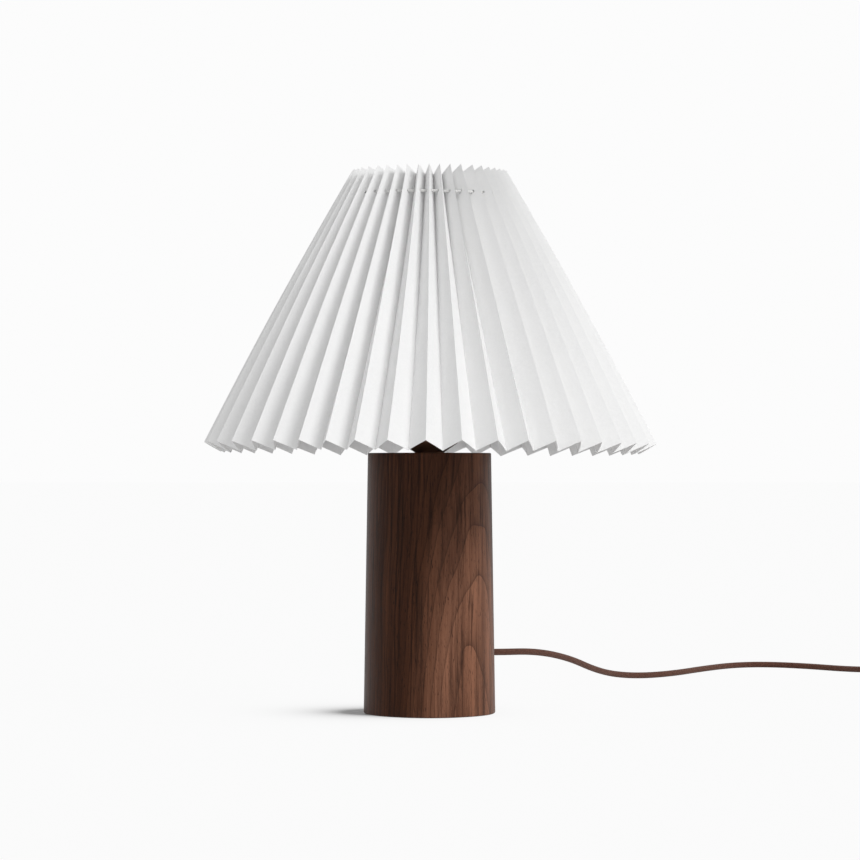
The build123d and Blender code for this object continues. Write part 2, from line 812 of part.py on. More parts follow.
def seam_outline(z):
    """The doubled strip at height z: it lies on the inside of one panel, just behind the paper."""
    near = star(z, -paper_thickness / 2 - fit / 4)
    far = star(z, -paper_thickness / 2 - fit / 4 - seam_thickness)
    crest, valley = 2 * seam_pleat, 2 * seam_pleat + 1
    corners = []
    for outline, first, last in ((near, crest, valley), (far, valley, crest)):
        for end in (first, last):
            other = valley if end == crest else crest
            (x, y), (other_x, other_y) = outline[end], outline[other]
            corners.append((x + seam_clear_share * (other_x - x), y + seam_clear_share * (other_y - y)))
    return corners


with BuildPart() as seam_strip:
    for z in (strip_bottom, strip_top):
        with BuildSketch(Plane.XY.offset(z)):
            with BuildLine():
                Polyline(*seam_outline(z), close=True)
            make_face()
    loft(ruled=True)
    trimmed()
    threaded_for_string()
seam_strip.part.label = "seam_strip"
export_step(seam_strip.part, "parts/seam_strip.step")

# ---------------------------------------------------------------- draw string and its knot
with BuildPart() as draw_string:
    with BuildSketch(Plane.XZ):
        with Locations((string_radius, string_height)):
            Circle(string_d / 2)
    revolve(axis=Axis.Z)
draw_string.part.label = "draw_string"
export_step(draw_string.part, "parts/draw_string.step")

knot_angle = radians(front_crest_angle) + (2 * seam_pleat + 1) * half_pleat
knot_radius = string_radius + knot_outward
with BuildPart() as string_knot:
    with Locations((knot_radius * cos(knot_angle), knot_radius * sin(knot_angle), string_height)):
        Sphere(knot_d / 2)
string_knot.part.label = "string_knot"
export_step(string_knot.part, "parts/string_knot.step")

# ---------------------------------------------------------------- bulb
contact_bottom = block_top + tongue_rise + slip
insulator_bottom = contact_bottom + bulb_contact_thickness
bulb_cap_bottom = insulator_bottom + bulb_insulator_height
collar_bottom = sleeve_top + slip
thread_radius = bulb_cap_d / 2
thread_root = thread_radius - bulb_thread_depth
cap_bore = thread_root - bulb_cap_wall
thread_start = bulb_cap_bottom + 1

with BuildPart() as bulb_contact:
    with BuildSketch(Plane.XY.offset(contact_bottom)):
        Circle(bulb_contact_d / 2)
    extrude(amount=bulb_contact_thickness)
    fillet(bulb_contact.edges().group_by(Axis.Z)[0], bulb_contact_thickness * 0.6)
bulb_contact.part.label = "bulb_contact"
export_step(bulb_contact.part, "parts/bulb_contact.step")

with BuildPart() as bulb_insulator:
    turned(
        [
            (0, insulator_bottom),
            (bulb_contact_d / 2 + 1, insulator_bottom),
            (cap_bore, bulb_cap_bottom),
            (cap_bore - fit / 2, bulb_cap_bottom),
            (cap_bore - fit / 2, bulb_cap_bottom + bulb_insulator_height),
            (0, bulb_cap_bottom + bulb_insulator_height),
        ]
    )
bulb_insulator.part.label = "bulb_insulator"
export_step(bulb_insulator.part, "parts/bulb_insulator.step")

thread = []
for turn in range(bulb_thread_turns):
    z = thread_start + turn * bulb_thread_pitch
    thread.append((thread_root, z))
    thread.append((thread_radius, z + bulb_thread_pitch * 0.35))
    thread.append((thread_radius, z + bulb_thread_pitch * 0.55))
thread.append((thread_root, thread_start + bulb_thread_turns * bulb_thread_pitch))
with BuildPart() as bulb_screw_cap:
    turned(
        [(cap_bore, bulb_cap_bottom), (thread_root, bulb_cap_bottom)]
        + thread
        + [(thread_root, collar_bottom), (cap_bore, collar_bottom)]
    )
bulb_screw_cap.part.label = "bulb_screw_cap"
export_step(bulb_screw_cap.part, "parts/bulb_screw_cap.step")

neck_radius = globe_neck_d / 2
neck_bottom = collar_bottom + collar_height - neck_seat_depth
seat_radius = neck_radius + fit
with BuildPart() as bulb_collar:
    turned(
        [
            (cap_bore, collar_bottom),
            (collar_mouth_d / 2 - 1, collar_bottom),
            (collar_mouth_d / 2, collar_bottom + 1),
            (seat_radius + collar_wall, neck_bottom - 1),
            (seat_radius + collar_wall, collar_bottom + collar_height),
            (seat_radius, collar_bottom + collar_height),
            (seat_radius, neck_bottom),
            (neck_radius - 2 * globe_wall, neck_bottom),
            (neck_radius - 2 * globe_wall - collar_wall, neck_bottom - 2),
            (cap_bore, neck_bottom - 2),
        ]
    )
bulb_collar.part.label = "bulb_collar"
export_step(bulb_collar.part, "parts/bulb_collar.step")

with BuildPart() as led_board:
    with BuildSketch(Plane.XY.offset(neck_bottom)):
        Circle(neck_radius - globe_wall - fit)
    extrude(amount=led_board_thickness)
led_board.part.label = "led_board"
export_step(led_board.part, "parts/led_board.step")

globe_centre = neck_bottom + globe_centre_above_neck
neck_top = neck_bottom + neck_seat_depth


def globe_body(wall, mode):
    """The globe and its neck, solid, a wall thickness inside the glass."""
    sphere = globe_d / 2 - wall
    neck = neck_radius - wall
    angle = radians(globe_tangent_angle)
    shoulder = (sphere * cos(angle), globe_centre - sphere * sin(angle))
    with BuildSketch(Plane.XZ) as profile:
        with BuildLine():
            Polyline((0, globe_centre), (0, neck_bottom), (neck, neck_bottom), (neck, neck_top), shoulder)
            CenterArc((0, globe_centre), sphere, -globe_tangent_angle, 90 + globe_tangent_angle)
            Line((0, globe_centre + sphere), (0, globe_centre))
        make_face()
    revolve(profile.sketch, axis=Axis.Z, mode=mode)


with BuildPart() as bulb_globe:
    globe_body(0, Mode.ADD)
    globe_body(globe_wall, Mode.SUBTRACT)
bulb_globe.part.label = "bulb_globe"
export_step(bulb_globe.part, "parts/bulb_globe.step")


# ---------------------------------------------------------------- free lead
def bend_radii(points):
    """The largest arc that each corner of a route leaves room for."""
    radii = []
    for before, here, after in zip(points, points[1:], points[2:]):
        arrive, leave = Vector(here) - Vector(before), Vector(after) - Vector(here)
        half_turn = radians(arrive.get_angle(leave)) / 2
        radii.append(0.45 * min(arrive.length, leave.length) / tan(half_turn))
    return radii


def lead_along(points, name):
    """Sweeps the lead along a route of straight runs and arcs, and prints how it came out."""
    radii = bend_radii(points)
    path = FilletPolyline(*points, radius=radii, mode=Mode.PRIVATE)
    with BuildPart() as stretch:
        with BuildLine():
            add(path)
        with BuildSketch(Plane(origin=path @ 0, z_dir=path % 0)):
            Circle(lead_radius)
        sweep()
    ideal = pi * lead_radius**2 * path.length
    print(name, "length", round(path.length, 1), "least radius", round(min(radii), 1),
          "volume share", round(stretch.part.volume / ideal, 4))
    return stretch


cord_to_switch = lead_along(route_to_switch, "cord_to_switch")
cord_to_switch.part.label = "cord_to_switch"
export_step(cord_to_switch.part, "parts/cord_to_switch.step")

cord_to_coil = lead_along(route_to_coil, "cord_to_coil")
cord_to_coil.part.label = "cord_to_coil"
export_step(cord_to_coil.part, "parts/cord_to_coil.step")

cord_to_plug = lead_along(route_to_plug, "cord_to_plug")
cord_to_plug.part.label = "cord_to_plug"
export_step(cord_to_plug.part, "parts/cord_to_plug.step")

# ---------------------------------------------------------------- coil of the spare lead
# The turns are half circles. They spiral in on the table, climb a layer, and spiral out again.
coil_x, coil_y = coil_centre
lower_layer = tie_thickness + tie_gap + lead_radius
upper_layer = lower_layer + coil_layer_height
flat_radii = [coil_outer_radius - step * coil_pitch / 2 for step in range(coil_flat_half_turns)]
climb_radius = coil_outer_radius - (coil_flat_half_turns / 2 + 1) * coil_pitch
start_x = coil_x + coil_outer_radius


def coil_line(kind, *points, **more):
    return kind(*points, mode=Mode.PRIVATE, **more)


def half_turn(x, side, radius, z):
    """A flat half circle that starts at x on the coil's cross line, and where it ends."""
    end_x = x - side * 2 * radius
    far_side = (x - side * radius, coil_y - side * radius, z)
    return coil_line(ThreePointArc, (x, coil_y, z), far_side, (end_x, coil_y, z)), end_x


coil_lines = [coil_line(Line, (start_x, coil_y + lead_d, lower_layer), (start_x, coil_y, lower_layer))]
x, side = start_x, 1
for radius in flat_radii:
    arc, x = half_turn(x, side, radius, lower_layer)
    coil_lines.append(arc)
    side = -side
# The climb is two quarter turns that share a tangent half way up.
climb_end = x - side * 2 * climb_radius
climb_reach = hypot(climb_radius, coil_layer_height / 2)
halfway = (x - side * climb_radius, coil_y - side * climb_reach, (lower_layer + upper_layer) / 2)
first_quarter = coil_line(TangentArc, (x, coil_y, lower_layer), halfway, tangent=(0, -side, 0))
last_quarter = coil_line(TangentArc, halfway, (climb_end, coil_y, upper_layer), tangent=first_quarter % 1)
coil_lines += [first_quarter, last_quarter]
x, side = climb_end, -side
for radius in [climb_radius] + flat_radii[::-1]:
    arc, x = half_turn(x, side, radius, upper_layer)
    coil_lines.append(arc)
    side = -side
coil_lines.append(coil_line(Line, (x, coil_y, upper_layer), (x, coil_y - side * lead_d, upper_layer)))
coil_path = Wire([line.edge() for line in coil_lines])

with BuildPart() as cord_coil:
    with BuildLine():
        add(coil_path)
    with BuildSketch(Plane(origin=(start_x, coil_y + lead_d, lower_layer), z_dir=(0, -1, 0))):
        Circle(lead_radius)
    sweep()
cord_coil.part.label = "cord_coil"
export_step(cord_coil.part, "parts/cord_coil.step")


def least_gap(path, diameter, steps_per_mm=0.5):
    """The least gap between a coiled tube and itself, on points along its middle."""
    count = int(path.length * steps_per_mm)
    points = [path.position_at(step / count) for step in range(count + 1)]
    apart = int(2 * diameter * steps_per_mm) + 1
    least = min(
        (first - second).length
        for index, first in enumerate(points)
        for second in points[index + apart:]
    )
    return least - diameter


print("cord_coil length", round(coil_path.length, 1), "turns", coil_flat_half_turns + 1,
      "least gap to itself", round(least_gap(coil_path, lead_d), 2))
print("cord_coil volume share", round(cord_coil.part.volume / (pi * lead_radius**2 * coil_path.length), 4))

# The strap goes round all four runs at the side where the lead comes in and leaves.
tie_outside = start_x + lead_radius + tie_gap
tie_sag = coil_outer_radius - sqrt(coil_outer_radius**2 - (tie_width / 2) ** 2)
tie_inside = start_x - coil_pitch - lead_radius - tie_gap - 1.5 * tie_sag
tie_top = upper_layer + lead_radius + tie_gap + tie_thickness
tie_plane = Plane(origin=(0, coil_y + tie_width / 2, 0), x_dir=(1, 0, 0), z_dir=(0, -1, 0))
with BuildPart() as coil_tie:
    with BuildSketch(tie_plane):
        with Locations(((tie_outside + tie_inside) / 2, tie_top / 2)):
            Rectangle(tie_outside - tie_inside + 2 * tie_thickness, tie_top)
            Rectangle(tie_outside - tie_inside, tie_top - 2 * tie_thickness, mode=Mode.SUBTRACT)
    extrude(amount=tie_width)
    fillet(coil_tie.edges().filter_by(Axis.Y).group_by(Axis.Z)[-1], tie_thickness)
coil_tie.part.label = "coil_tie"
export_step(coil_tie.part, "parts/coil_tie.step")

# ---------------------------------------------------------------- rocker switch
heading = radians(switch_heading)
along_switch = (cos(heading), sin(heading), 0)
switch_entry = Vector(route_to_switch[-1])
switch_middle = switch_entry + Vector(along_switch) * (switch_length / 2)
switch_foot = Plane(origin=(switch_middle.X, switch_middle.Y, 0), x_dir=along_switch, z_dir=(0, 0, 1))
switch_split = switch_foot.offset(switch_base_height)
switch_top = switch_base_height + switch_cover_height
lead_bore = lead_radius + 2 * fit
switch_end = Plane(origin=switch_entry, z_dir=along_switch)
opening_length = rocker_length + 2 * rocker_end_gap
opening_width = rocker_width + 2 * rocker_side_gap
contact_x = opening_length / 2 + switch_wall / 2 + contact_length / 2
lead_bore_depth = switch_length / 2 - contact_x - contact_length / 2


def switch_outline():
    RectangleRounded(switch_length, switch_width, switch_corner)


def bored_for_lead():
    """Opens the two ends of a switch half for the lead."""
    for place in (switch_end, switch_end.offset(switch_length - lead_bore_depth)):
        drilled(place, lead_bore, lead_bore_depth)


def cleared_for_contacts():
    """Leaves room round the two brass contacts."""
    with BuildSketch(switch_foot.offset(switch_base_height - contact_height / 2 - fit)) as room:
        with Locations((-contact_x, 0), (contact_x, 0)):
            Rectangle(contact_length + 2 * fit, contact_width + 2 * fit)
    extrude(room.sketch, amount=contact_height + 2 * fit, mode=Mode.SUBTRACT)


def cleared_for_rocker():
    """Opens the well that the rocker tilts in."""
    with BuildSketch(switch_foot.offset(switch_wall)) as well:
        Rectangle(opening_length, opening_width)
    extrude(well.sketch, amount=switch_top, mode=Mode.SUBTRACT)


with BuildPart() as switch_base:
    with BuildSketch(switch_foot):
        switch_outline()
    extrude(amount=switch_base_height)
    fillet(switch_base.edges().group_by(Axis.Z)[0], switch_edge_round)
    bored_for_lead()
    cleared_for_contacts()
    cleared_for_rocker()
    with BuildSketch(switch_foot):
        with Locations((-switch_screw_x, -switch_screw_y), (switch_screw_x, switch_screw_y)):
            Circle(switch_screw_d / 2 + fit)
    extrude(amount=switch_base_height, mode=Mode.SUBTRACT)
    with BuildSketch(switch_foot):
        with Locations((-switch_screw_x, -switch_screw_y), (switch_screw_x, switch_screw_y)):
            Circle(switch_screw_head_d / 2 + fit)
    extrude(amount=2 * switch_screw_head_height, mode=Mode.SUBTRACT)
switch_base.part.label = "switch_base"
export_step(switch_base.part, "parts/switch_base.step")

pin_axis_plane = Plane(
    origin=switch_foot.from_local_coords((0, -rocker_pin_length / 2, rocker_pivot_height)),
    z_dir=switch_foot.y_dir,
)
with BuildPart() as switch_cover:
    with BuildSketch(switch_split):
        switch_outline()
    extrude(amount=switch_cover_height)
    fillet(switch_cover.edges().group_by(Axis.Z)[-1], switch_edge_round)
    bored_for_lead()
    cleared_for_contacts()
    cleared_for_rocker()
    with BuildSketch(pin_axis_plane):
        Circle(rocker_pin_d / 2 + fit / 2)
    extrude(amount=rocker_pin_length, mode=Mode.SUBTRACT)
    with BuildSketch(switch_split):
        with Locations((-switch_screw_x, -switch_screw_y), (switch_screw_x, switch_screw_y)):
            Circle(switch_screw_d / 2 + fit / 2)
    extrude(amount=switch_cover_height / 2, mode=Mode.SUBTRACT)
switch_cover.part.label = "switch_cover"
export_step(switch_cover.part, "parts/switch_cover.step")

with BuildPart() as switch_screws:
    with BuildSketch(switch_foot.offset(switch_screw_head_height)):
        with Locations((-switch_screw_x, -switch_screw_y), (switch_screw_x, switch_screw_y)):
            Circle(switch_screw_head_d / 2)
    extrude(amount=switch_screw_head_height)
    with BuildSketch(switch_foot.offset(2 * switch_screw_head_height)):
        with Locations((-switch_screw_x, -switch_screw_y), (switch_screw_x, switch_screw_y)):
            Circle(switch_screw_d / 2)
    extrude(amount=switch_base_height - 2 * switch_screw_head_height + switch_cover_height / 2 - fit)
switch_screws.part.label = "switch_screws"
export_step(switch_screws.part, "parts/switch_screws.step")

with BuildPart() as switch_contacts:
    with BuildSketch(switch_foot.offset(switch_base_height - contact_height / 2)):
        with Locations((-contact_x, 0), (contact_x, 0)):
            Rectangle(contact_length, contact_width)
    extrude(amount=contact_height)
switch_contacts.part.label = "switch_contacts"
export_step(switch_contacts.part, "parts/switch_contacts.step")

# The ends of the lead inside the switch, from its faces to the contacts.
with BuildPart() as switch_lead_ends:
    for place in (switch_end, switch_end.offset(switch_length - lead_bore_depth)):
        with BuildSketch(place.offset(fit / 2)):
            Circle(lead_radius)
        extrude(amount=lead_bore_depth - fit)
switch_lead_ends.part.label = "switch_lead_ends"
export_step(switch_lead_ends.part, "parts/switch_lead_ends.step")

with BuildPart() as rocker_pin:
    with BuildSketch(pin_axis_plane):
        Circle(rocker_pin_d / 2)
    extrude(amount=rocker_pin_length)
rocker_pin.part.label = "rocker_pin"
export_step(rocker_pin.part, "parts/rocker_pin.step")

# The rocker stands in its off position, tilted by half its travel about the pin.
off_tilt = radians(rocker_travel / 2)
rocker_pivot = switch_foot.from_local_coords((0, rocker_width / 2, rocker_pivot_height))
tilted_x = (cos(heading) * cos(off_tilt), sin(heading) * cos(off_tilt), sin(off_tilt))
rocker_plane = Plane(origin=rocker_pivot, x_dir=tilted_x, z_dir=-switch_foot.y_dir)
with BuildPart() as switch_rocker:
    with BuildSketch(rocker_plane):
        with BuildLine():
            Polyline(
                (-rocker_length / 2, rocker_top_above_pivot),
                (0, rocker_top_above_pivot - rocker_dish),
                (rocker_length / 2, rocker_top_above_pivot),
                (rocker_length / 2 - 1, 0),
                (rocker_length / 4, -rocker_foot),
                (-rocker_length / 4, -rocker_foot),
                (-rocker_length / 2 + 1, 0),
                close=True,
            )
        make_face()
        Circle(rocker_pin_d / 2 + rocker_pin_gap, mode=Mode.SUBTRACT)
    extrude(amount=rocker_width)
switch_rocker.part.label = "switch_rocker"
export_step(switch_rocker.part, "parts/switch_rocker.step")

# ---------------------------------------------------------------- plug
plug_entry = Vector(route_to_plug[-1])
plug_way = plug_entry - Vector(route_to_plug[-2])
plug_back = Plane(origin=plug_entry, x_dir=plug_way.cross(Vector(0, 0, 1)), z_dir=plug_way)
plug_drop = plug_entry.Z - plug_height / 2
with BuildPart() as plug_body:
    with BuildSketch(plug_back):
        Circle(boot_tip_d / 2)
    with BuildSketch(plug_back.offset(boot_length)):
        Circle(boot_large_d / 2)
    loft()
    with BuildSketch(plug_back.offset(boot_length)):
        RectangleRounded(plug_width, plug_height, plug_corner)
    extrude(amount=plug_length)
    fillet(plug_body.edges().group_by(Axis(plug_entry, plug_way))[-1], plug_edge_round)
plug_body.part.label = "plug_body"
export_step(plug_body.part, "parts/plug_body.step")

with BuildPart() as plug_blades:
    with BuildSketch(plug_back.offset(boot_length + plug_length)):
        with Locations((-blade_spacing / 2, 0), (blade_spacing / 2, 0)):
            Rectangle(blade_thickness, blade_width)
    extrude(amount=blade_length)
plug_blades.part.label = "plug_blades"
export_step(plug_blades.part, "parts/plug_blades.step")

total = sum(
    bend.length
    for bend in (
        FilletPolyline(*route_to_switch, radius=bend_radii(route_to_switch), mode=Mode.PRIVATE),
        FilletPolyline(*route_to_coil, radius=bend_radii(route_to_coil), mode=Mode.PRIVATE),
        FilletPolyline(*route_to_plug, radius=bend_radii(route_to_plug), mode=Mode.PRIVATE),
        coil_path,
    )
)
print("lead from the column to the plug, with the switch", round(total + switch_length, 1))
print("plug stands off the table by", round(plug_drop, 2))
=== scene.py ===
import json
import random
from math import atan2, cos, hypot, pi, radians, sin, tau

import bmesh
import bpy
from mathutils import Matrix, Vector

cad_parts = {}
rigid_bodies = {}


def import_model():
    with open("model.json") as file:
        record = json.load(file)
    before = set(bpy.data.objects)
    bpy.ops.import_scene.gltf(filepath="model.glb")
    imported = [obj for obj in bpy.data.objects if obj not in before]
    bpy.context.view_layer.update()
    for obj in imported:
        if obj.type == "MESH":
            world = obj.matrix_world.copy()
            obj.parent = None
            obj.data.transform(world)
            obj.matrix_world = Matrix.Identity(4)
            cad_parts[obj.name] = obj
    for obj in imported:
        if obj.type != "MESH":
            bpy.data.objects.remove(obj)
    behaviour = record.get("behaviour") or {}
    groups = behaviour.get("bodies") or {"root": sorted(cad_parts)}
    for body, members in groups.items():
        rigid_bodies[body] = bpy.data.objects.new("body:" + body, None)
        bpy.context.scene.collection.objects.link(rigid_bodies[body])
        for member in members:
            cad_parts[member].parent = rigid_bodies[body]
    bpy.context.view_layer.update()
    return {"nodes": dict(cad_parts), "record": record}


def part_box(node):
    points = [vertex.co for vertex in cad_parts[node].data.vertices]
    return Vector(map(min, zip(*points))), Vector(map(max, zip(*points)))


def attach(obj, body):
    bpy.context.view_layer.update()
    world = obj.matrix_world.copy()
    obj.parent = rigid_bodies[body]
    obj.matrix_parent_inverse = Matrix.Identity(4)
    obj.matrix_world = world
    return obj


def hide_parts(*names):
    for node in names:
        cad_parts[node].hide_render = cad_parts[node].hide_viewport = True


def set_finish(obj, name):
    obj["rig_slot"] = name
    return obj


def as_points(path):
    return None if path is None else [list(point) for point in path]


# A table lamp with a dark turned column, a pleated paper shade and a fabric-covered lead.
# Metres, in the CAD's own frame: the foot stands on z 0 and the photograph's side is -Y.
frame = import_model()
scene = bpy.context.scene
mm = 0.001
weld = 1e-7  # points closer than this are one point
all_smooth = 80  # degrees: a round strand has no sharp edge

# ---------------------------------------------------------------- camera
photo_pixels = 860
focal_pixels = 3000
horizon_below_centre = 42  # pixels
sensor = 36.0
camera_distance = 2.58
camera_height = 0.2077
camera_side = 0.00043


def make_camera():
    lens = bpy.data.cameras.new("camera")
    lens.sensor_width = sensor
    lens.lens = sensor * focal_pixels / photo_pixels
    lens.clip_start, lens.clip_end = 0.05, 60
    camera = bpy.data.objects.new("camera", lens)
    camera.location = (camera_side, -camera_distance, camera_height)
    camera.rotation_euler = (pi / 2 + atan2(horizon_below_centre, focal_pixels), 0, 0)
    scene.collection.objects.link(camera)
    scene.camera = camera


make_camera()


# ---------------------------------------------------------------- making pieces
def add_piece(bm, name, body, slot, replaced=(), sharp_from=35, lean=None):
    """Turns a bmesh into a finished piece that rides on a body of the lamp."""
    if lean is not None:
        bmesh.ops.transform(bm, matrix=lean, verts=bm.verts)
    mesh = bpy.data.meshes.new(name)
    bm.to_mesh(mesh)
    bm.free()
    mesh.shade_smooth()
    mesh.set_sharp_from_angle(angle=radians(sharp_from))
    piece = bpy.data.objects.new(name, mesh)
    scene.collection.objects.link(piece)
    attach(piece, body)
    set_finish(piece, slot)
    if replaced:
        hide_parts(*replaced)
    return piece


def rolled_sheet(columns, rows, place, length=1.0, into=None):
    """A grid with each corner put in place by column and row. UV runs 0 to 1 across and 0 to length along."""
    bm = into or bmesh.new()
    uv = bm.loops.layers.uv.verify()
    made = bmesh.ops.create_grid(bm, x_segments=columns, y_segments=rows, size=1)["verts"]
    for vert in made:
        for loop in vert.link_loops:
            loop[uv].uv = ((vert.co.x + 1) / 2, (vert.co.y + 1) / 2 * length)
    for vert in made:
        column, row = round((vert.co.x + 1) / 2 * columns), round((vert.co.y + 1) / 2 * rows)
        vert.co = place(column, row)
    bmesh.ops.remove_doubles(bm, verts=made, dist=weld)
    return bm


def closed_ends(bm):
    """Fills the open ends of a tube and turns all its faces outwards."""
    open_edges = [edge for edge in bm.edges if edge.is_boundary]
    if open_edges:
        bmesh.ops.holes_fill(bm, edges=open_edges, sides=0)
    bmesh.ops.recalc_face_normals(bm, faces=bm.faces)
    return bm


def thickened(bm, thickness):
    """Gives an open sheet a thickness, in millimetres."""
    bmesh.ops.recalc_face_normals(bm, faces=bm.faces)
    bmesh.ops.solidify(bm, geom=bm.faces, thickness=thickness * mm)
    bmesh.ops.recalc_face_normals(bm, faces=bm.faces)
    return bm


def spun(outline, steps):
    """Turns a closed outline of (radius, height) points, in millimetres, round the lamp's axis."""
    bm = bmesh.new()
    verts = [bm.verts.new((radius * mm, 0, height * mm)) for radius, height in outline]
    edges = [bm.edges.new(pair) for pair in zip(verts, verts[1:] + verts[:1])]
    bmesh.ops.spin(
        bm, geom=verts + edges, cent=(0, 0, 0), axis=(0, 0, 1), angle=tau, steps=steps, use_merge=True
    )
    bmesh.ops.remove_doubles(bm, verts=bm.verts, dist=weld)
    bmesh.ops.recalc_face_normals(bm, faces=bm.faces)
    return bm


def frames_along(points, loop=False):
    """An upright-as-possible frame at each point of a line, turning as little as it can."""
    points = [Vector(point) for point in points]
    tangents = []
    last = len(points) - 1
    for index in range(len(points)):
        before = points[index - 1] if index or loop else points[0]
        after = points[index + 1] if index < last else (points[1] if loop else points[last])
        tangents.append((after - before).normalized())
    side = tangents[0].orthogonal().normalized()
    found = []
    for point, tangent in zip(points, tangents):
        side = (side - tangent * side.dot(tangent)).normalized()
        found.append((point, side, tangent.cross(side), tangent))
    return found


def tube(points, radius, around=16, loop=False, into=None):
    """A round tube along a line of points, with UV in turns across and metres along. radius may be a list."""
    found = frames_along(points, loop)
    run = sum((b[0] - a[0]).length for a, b in zip(found, found[1:]))
    radii = radius if isinstance(radius, list) else [radius] * len(found)

    def place(column, row):
        point, side, up, _ = found[row]
        turn = tau * column / around
        return point + (side * cos(turn) + up * sin(turn)) * radii[row]

    return rolled_sheet(around, len(found) - 1, place, run, into)


def rounded_square(turn, squareness):
    """A point round an outline that is a circle at squareness 2 and nears a square as it grows."""
    c, s = cos(turn), sin(turn)
    reach = (abs(c) ** squareness + abs(s) ** squareness) ** (-1 / squareness)
    return c * reach, s * reach


def sections(origin, way, rings, around=48):
    """Rounded sections along a straight line: (distance, half width, half height, squareness), in millimetres."""
    way = Vector(way).normalized()
    across = way.cross(Vector((0, 0, 1))).normalized()
    up = across.cross(way)

    def place(column, row):
        distance, half_width, half_height, squareness = rings[row]
        x, y = rounded_square(tau * column / around, squareness)
        offset = across * (half_width * x) + up * (half_height * y) + way * distance
        return (Vector(origin) + offset) * mm

    return closed_ends(rolled_sheet(around, len(rings) - 1, place))


# ---------------------------------------------------------------- the free lead
lead_d = 6.0
route_to_switch = [
    (0, 78, 46),
    (0, 100, 46),
    (22, 134, 45),
    (62, 166, 43),
    (99, 215, 41),
    (132, 278, 31),
    (161, 350, 15),
    (184, 405, 6.5),
    (212, 437, 3),
    (247, 472, 3),
    (286, 549, 3),
    (322, 605, 3),
    (358, 617, 3),
    (396, 590, 3),
    (430, 544, 3),
    (452, 506, 4.5),
    (463, 479, 9),
    (468.5, 464, 9),
]
route_to_coil = [
    (489, 407.6, 9),
    (494.5, 392.6, 9),
    (505, 366, 5),
    (512, 341, 4),
    (512, 316, 4),
]
route_to_plug = [
    (512, 304, 11.2),
    (512, 291, 11.2),
    (508, 270, 9.6),
    (501, 252, 9.6),
]
coil_cross_line = 310.0
coil_start = 512.0
lower_layer, upper_layer = 4.0, 11.2
# Radius, and height at the start and at the end.
coil_half_turns = [
    (42.0, lower_layer, lower_layer),
    (38.7, lower_layer, lower_layer),
    (28.8, lower_layer, upper_layer),
    (28.8, upper_layer, upper_layer),
    (38.7, upper_layer, upper_layer),
    (42.0, upper_layer, upper_layer),
]
points_per_half_turn = 8


def coil_turns():
    """The points of the coil's turns. The line touches a circle half way between two of them."""
    points = []
    x, side = coil_start, 1
    step = pi / points_per_half_turn
    for radius, low, high in coil_half_turns:
        middle = x - side * radius
        reach = radius / cos(step / 2)
        for number in range(points_per_half_turn):
            turn = (number + 0.5) * step
            share = (number + 0.5) / points_per_half_turn
            height = low + (high - low) * share * share * (3 - 2 * share)
            points.append((middle + side * reach * cos(turn), coil_cross_line - side * reach * sin(turn), height))
        x = middle - side * radius
        side = -side
    return points


def smooth_line(name, points, resolution):
    """The points that a smooth spline runs through, with the given points as its control points."""
    curve = bpy.data.curves.new(name, "CURVE")
    curve.dimensions = "3D"
    spline = curve.splines.new("NURBS")
    spline.points.add(len(points) - 1)
    for target, point in zip(spline.points, points):
        target.co = (point[0] * mm, point[1] * mm, point[2] * mm, 1)
    spline.order_u = 3
    spline.use_endpoint_u = True
    spline.resolution_u = resolution
    holder = bpy.data.objects.new(name, curve)
    scene.collection.objects.link(holder)
    line = bpy.data.meshes.new_from_object(holder)
    found = [vert.co.copy() for vert in line.vertices]
    bpy.data.objects.remove(holder)
    bpy.data.curves.remove(curve)
    bpy.data.meshes.remove(line)
    return found


def make_lead():
    """Both stretches of the free lead, and the lines that they run along."""
    first = smooth_line("line_to_switch", route_to_switch, 24)
    near = add_piece(
        closed_ends(tube(first, lead_d / 2 * mm)),
        "lead_to_switch",
        "lamp",
        "flex_fabric",
        ["cord_to_switch"],
        all_smooth,
    )
    second = smooth_line("line_to_plug", route_to_coil + coil_turns() + route_to_plug, 8)
    far = add_piece(
        closed_ends(tube(second, lead_d / 2 * mm)),
        "lead_to_plug",
        "lamp",
        "flex_fabric",
        ["cord_to_coil", "cord_coil", "cord_to_plug"],
        all_smooth,
    )
    return first, near, second, far


line_to_switch, lead_to_switch, line_to_plug, lead_to_plug = make_lead()


def make_coil_strap():
    """The woven strap round the runs of the coil, where they lie side by side."""
    middle_x, middle_z = 508.4, 7.6
    half_inside, thickness, clearance, width = 6.85, 0.8, 0.1, 12.0
    around, across, squareness = 56, 6, 5

    def place(column, row):
        x, z = rounded_square(tau * column / around, squareness)
        y = coil_cross_line + (row / across - 0.5) * width
        return Vector((middle_x + half_inside * x, y, middle_z + half_inside * z)) * mm

    strap = thickened(rolled_sheet(around, across, place, width * mm), -(thickness - clearance))
    return add_piece(strap, "coil_strap", "lamp", "tie_fabric", ["coil_tie"], 50)


coil_strap = make_coil_strap()

plug_origin = (501.0, 252.0, 9.6)
plug_way = (-7.0, -18.0, 0.0)


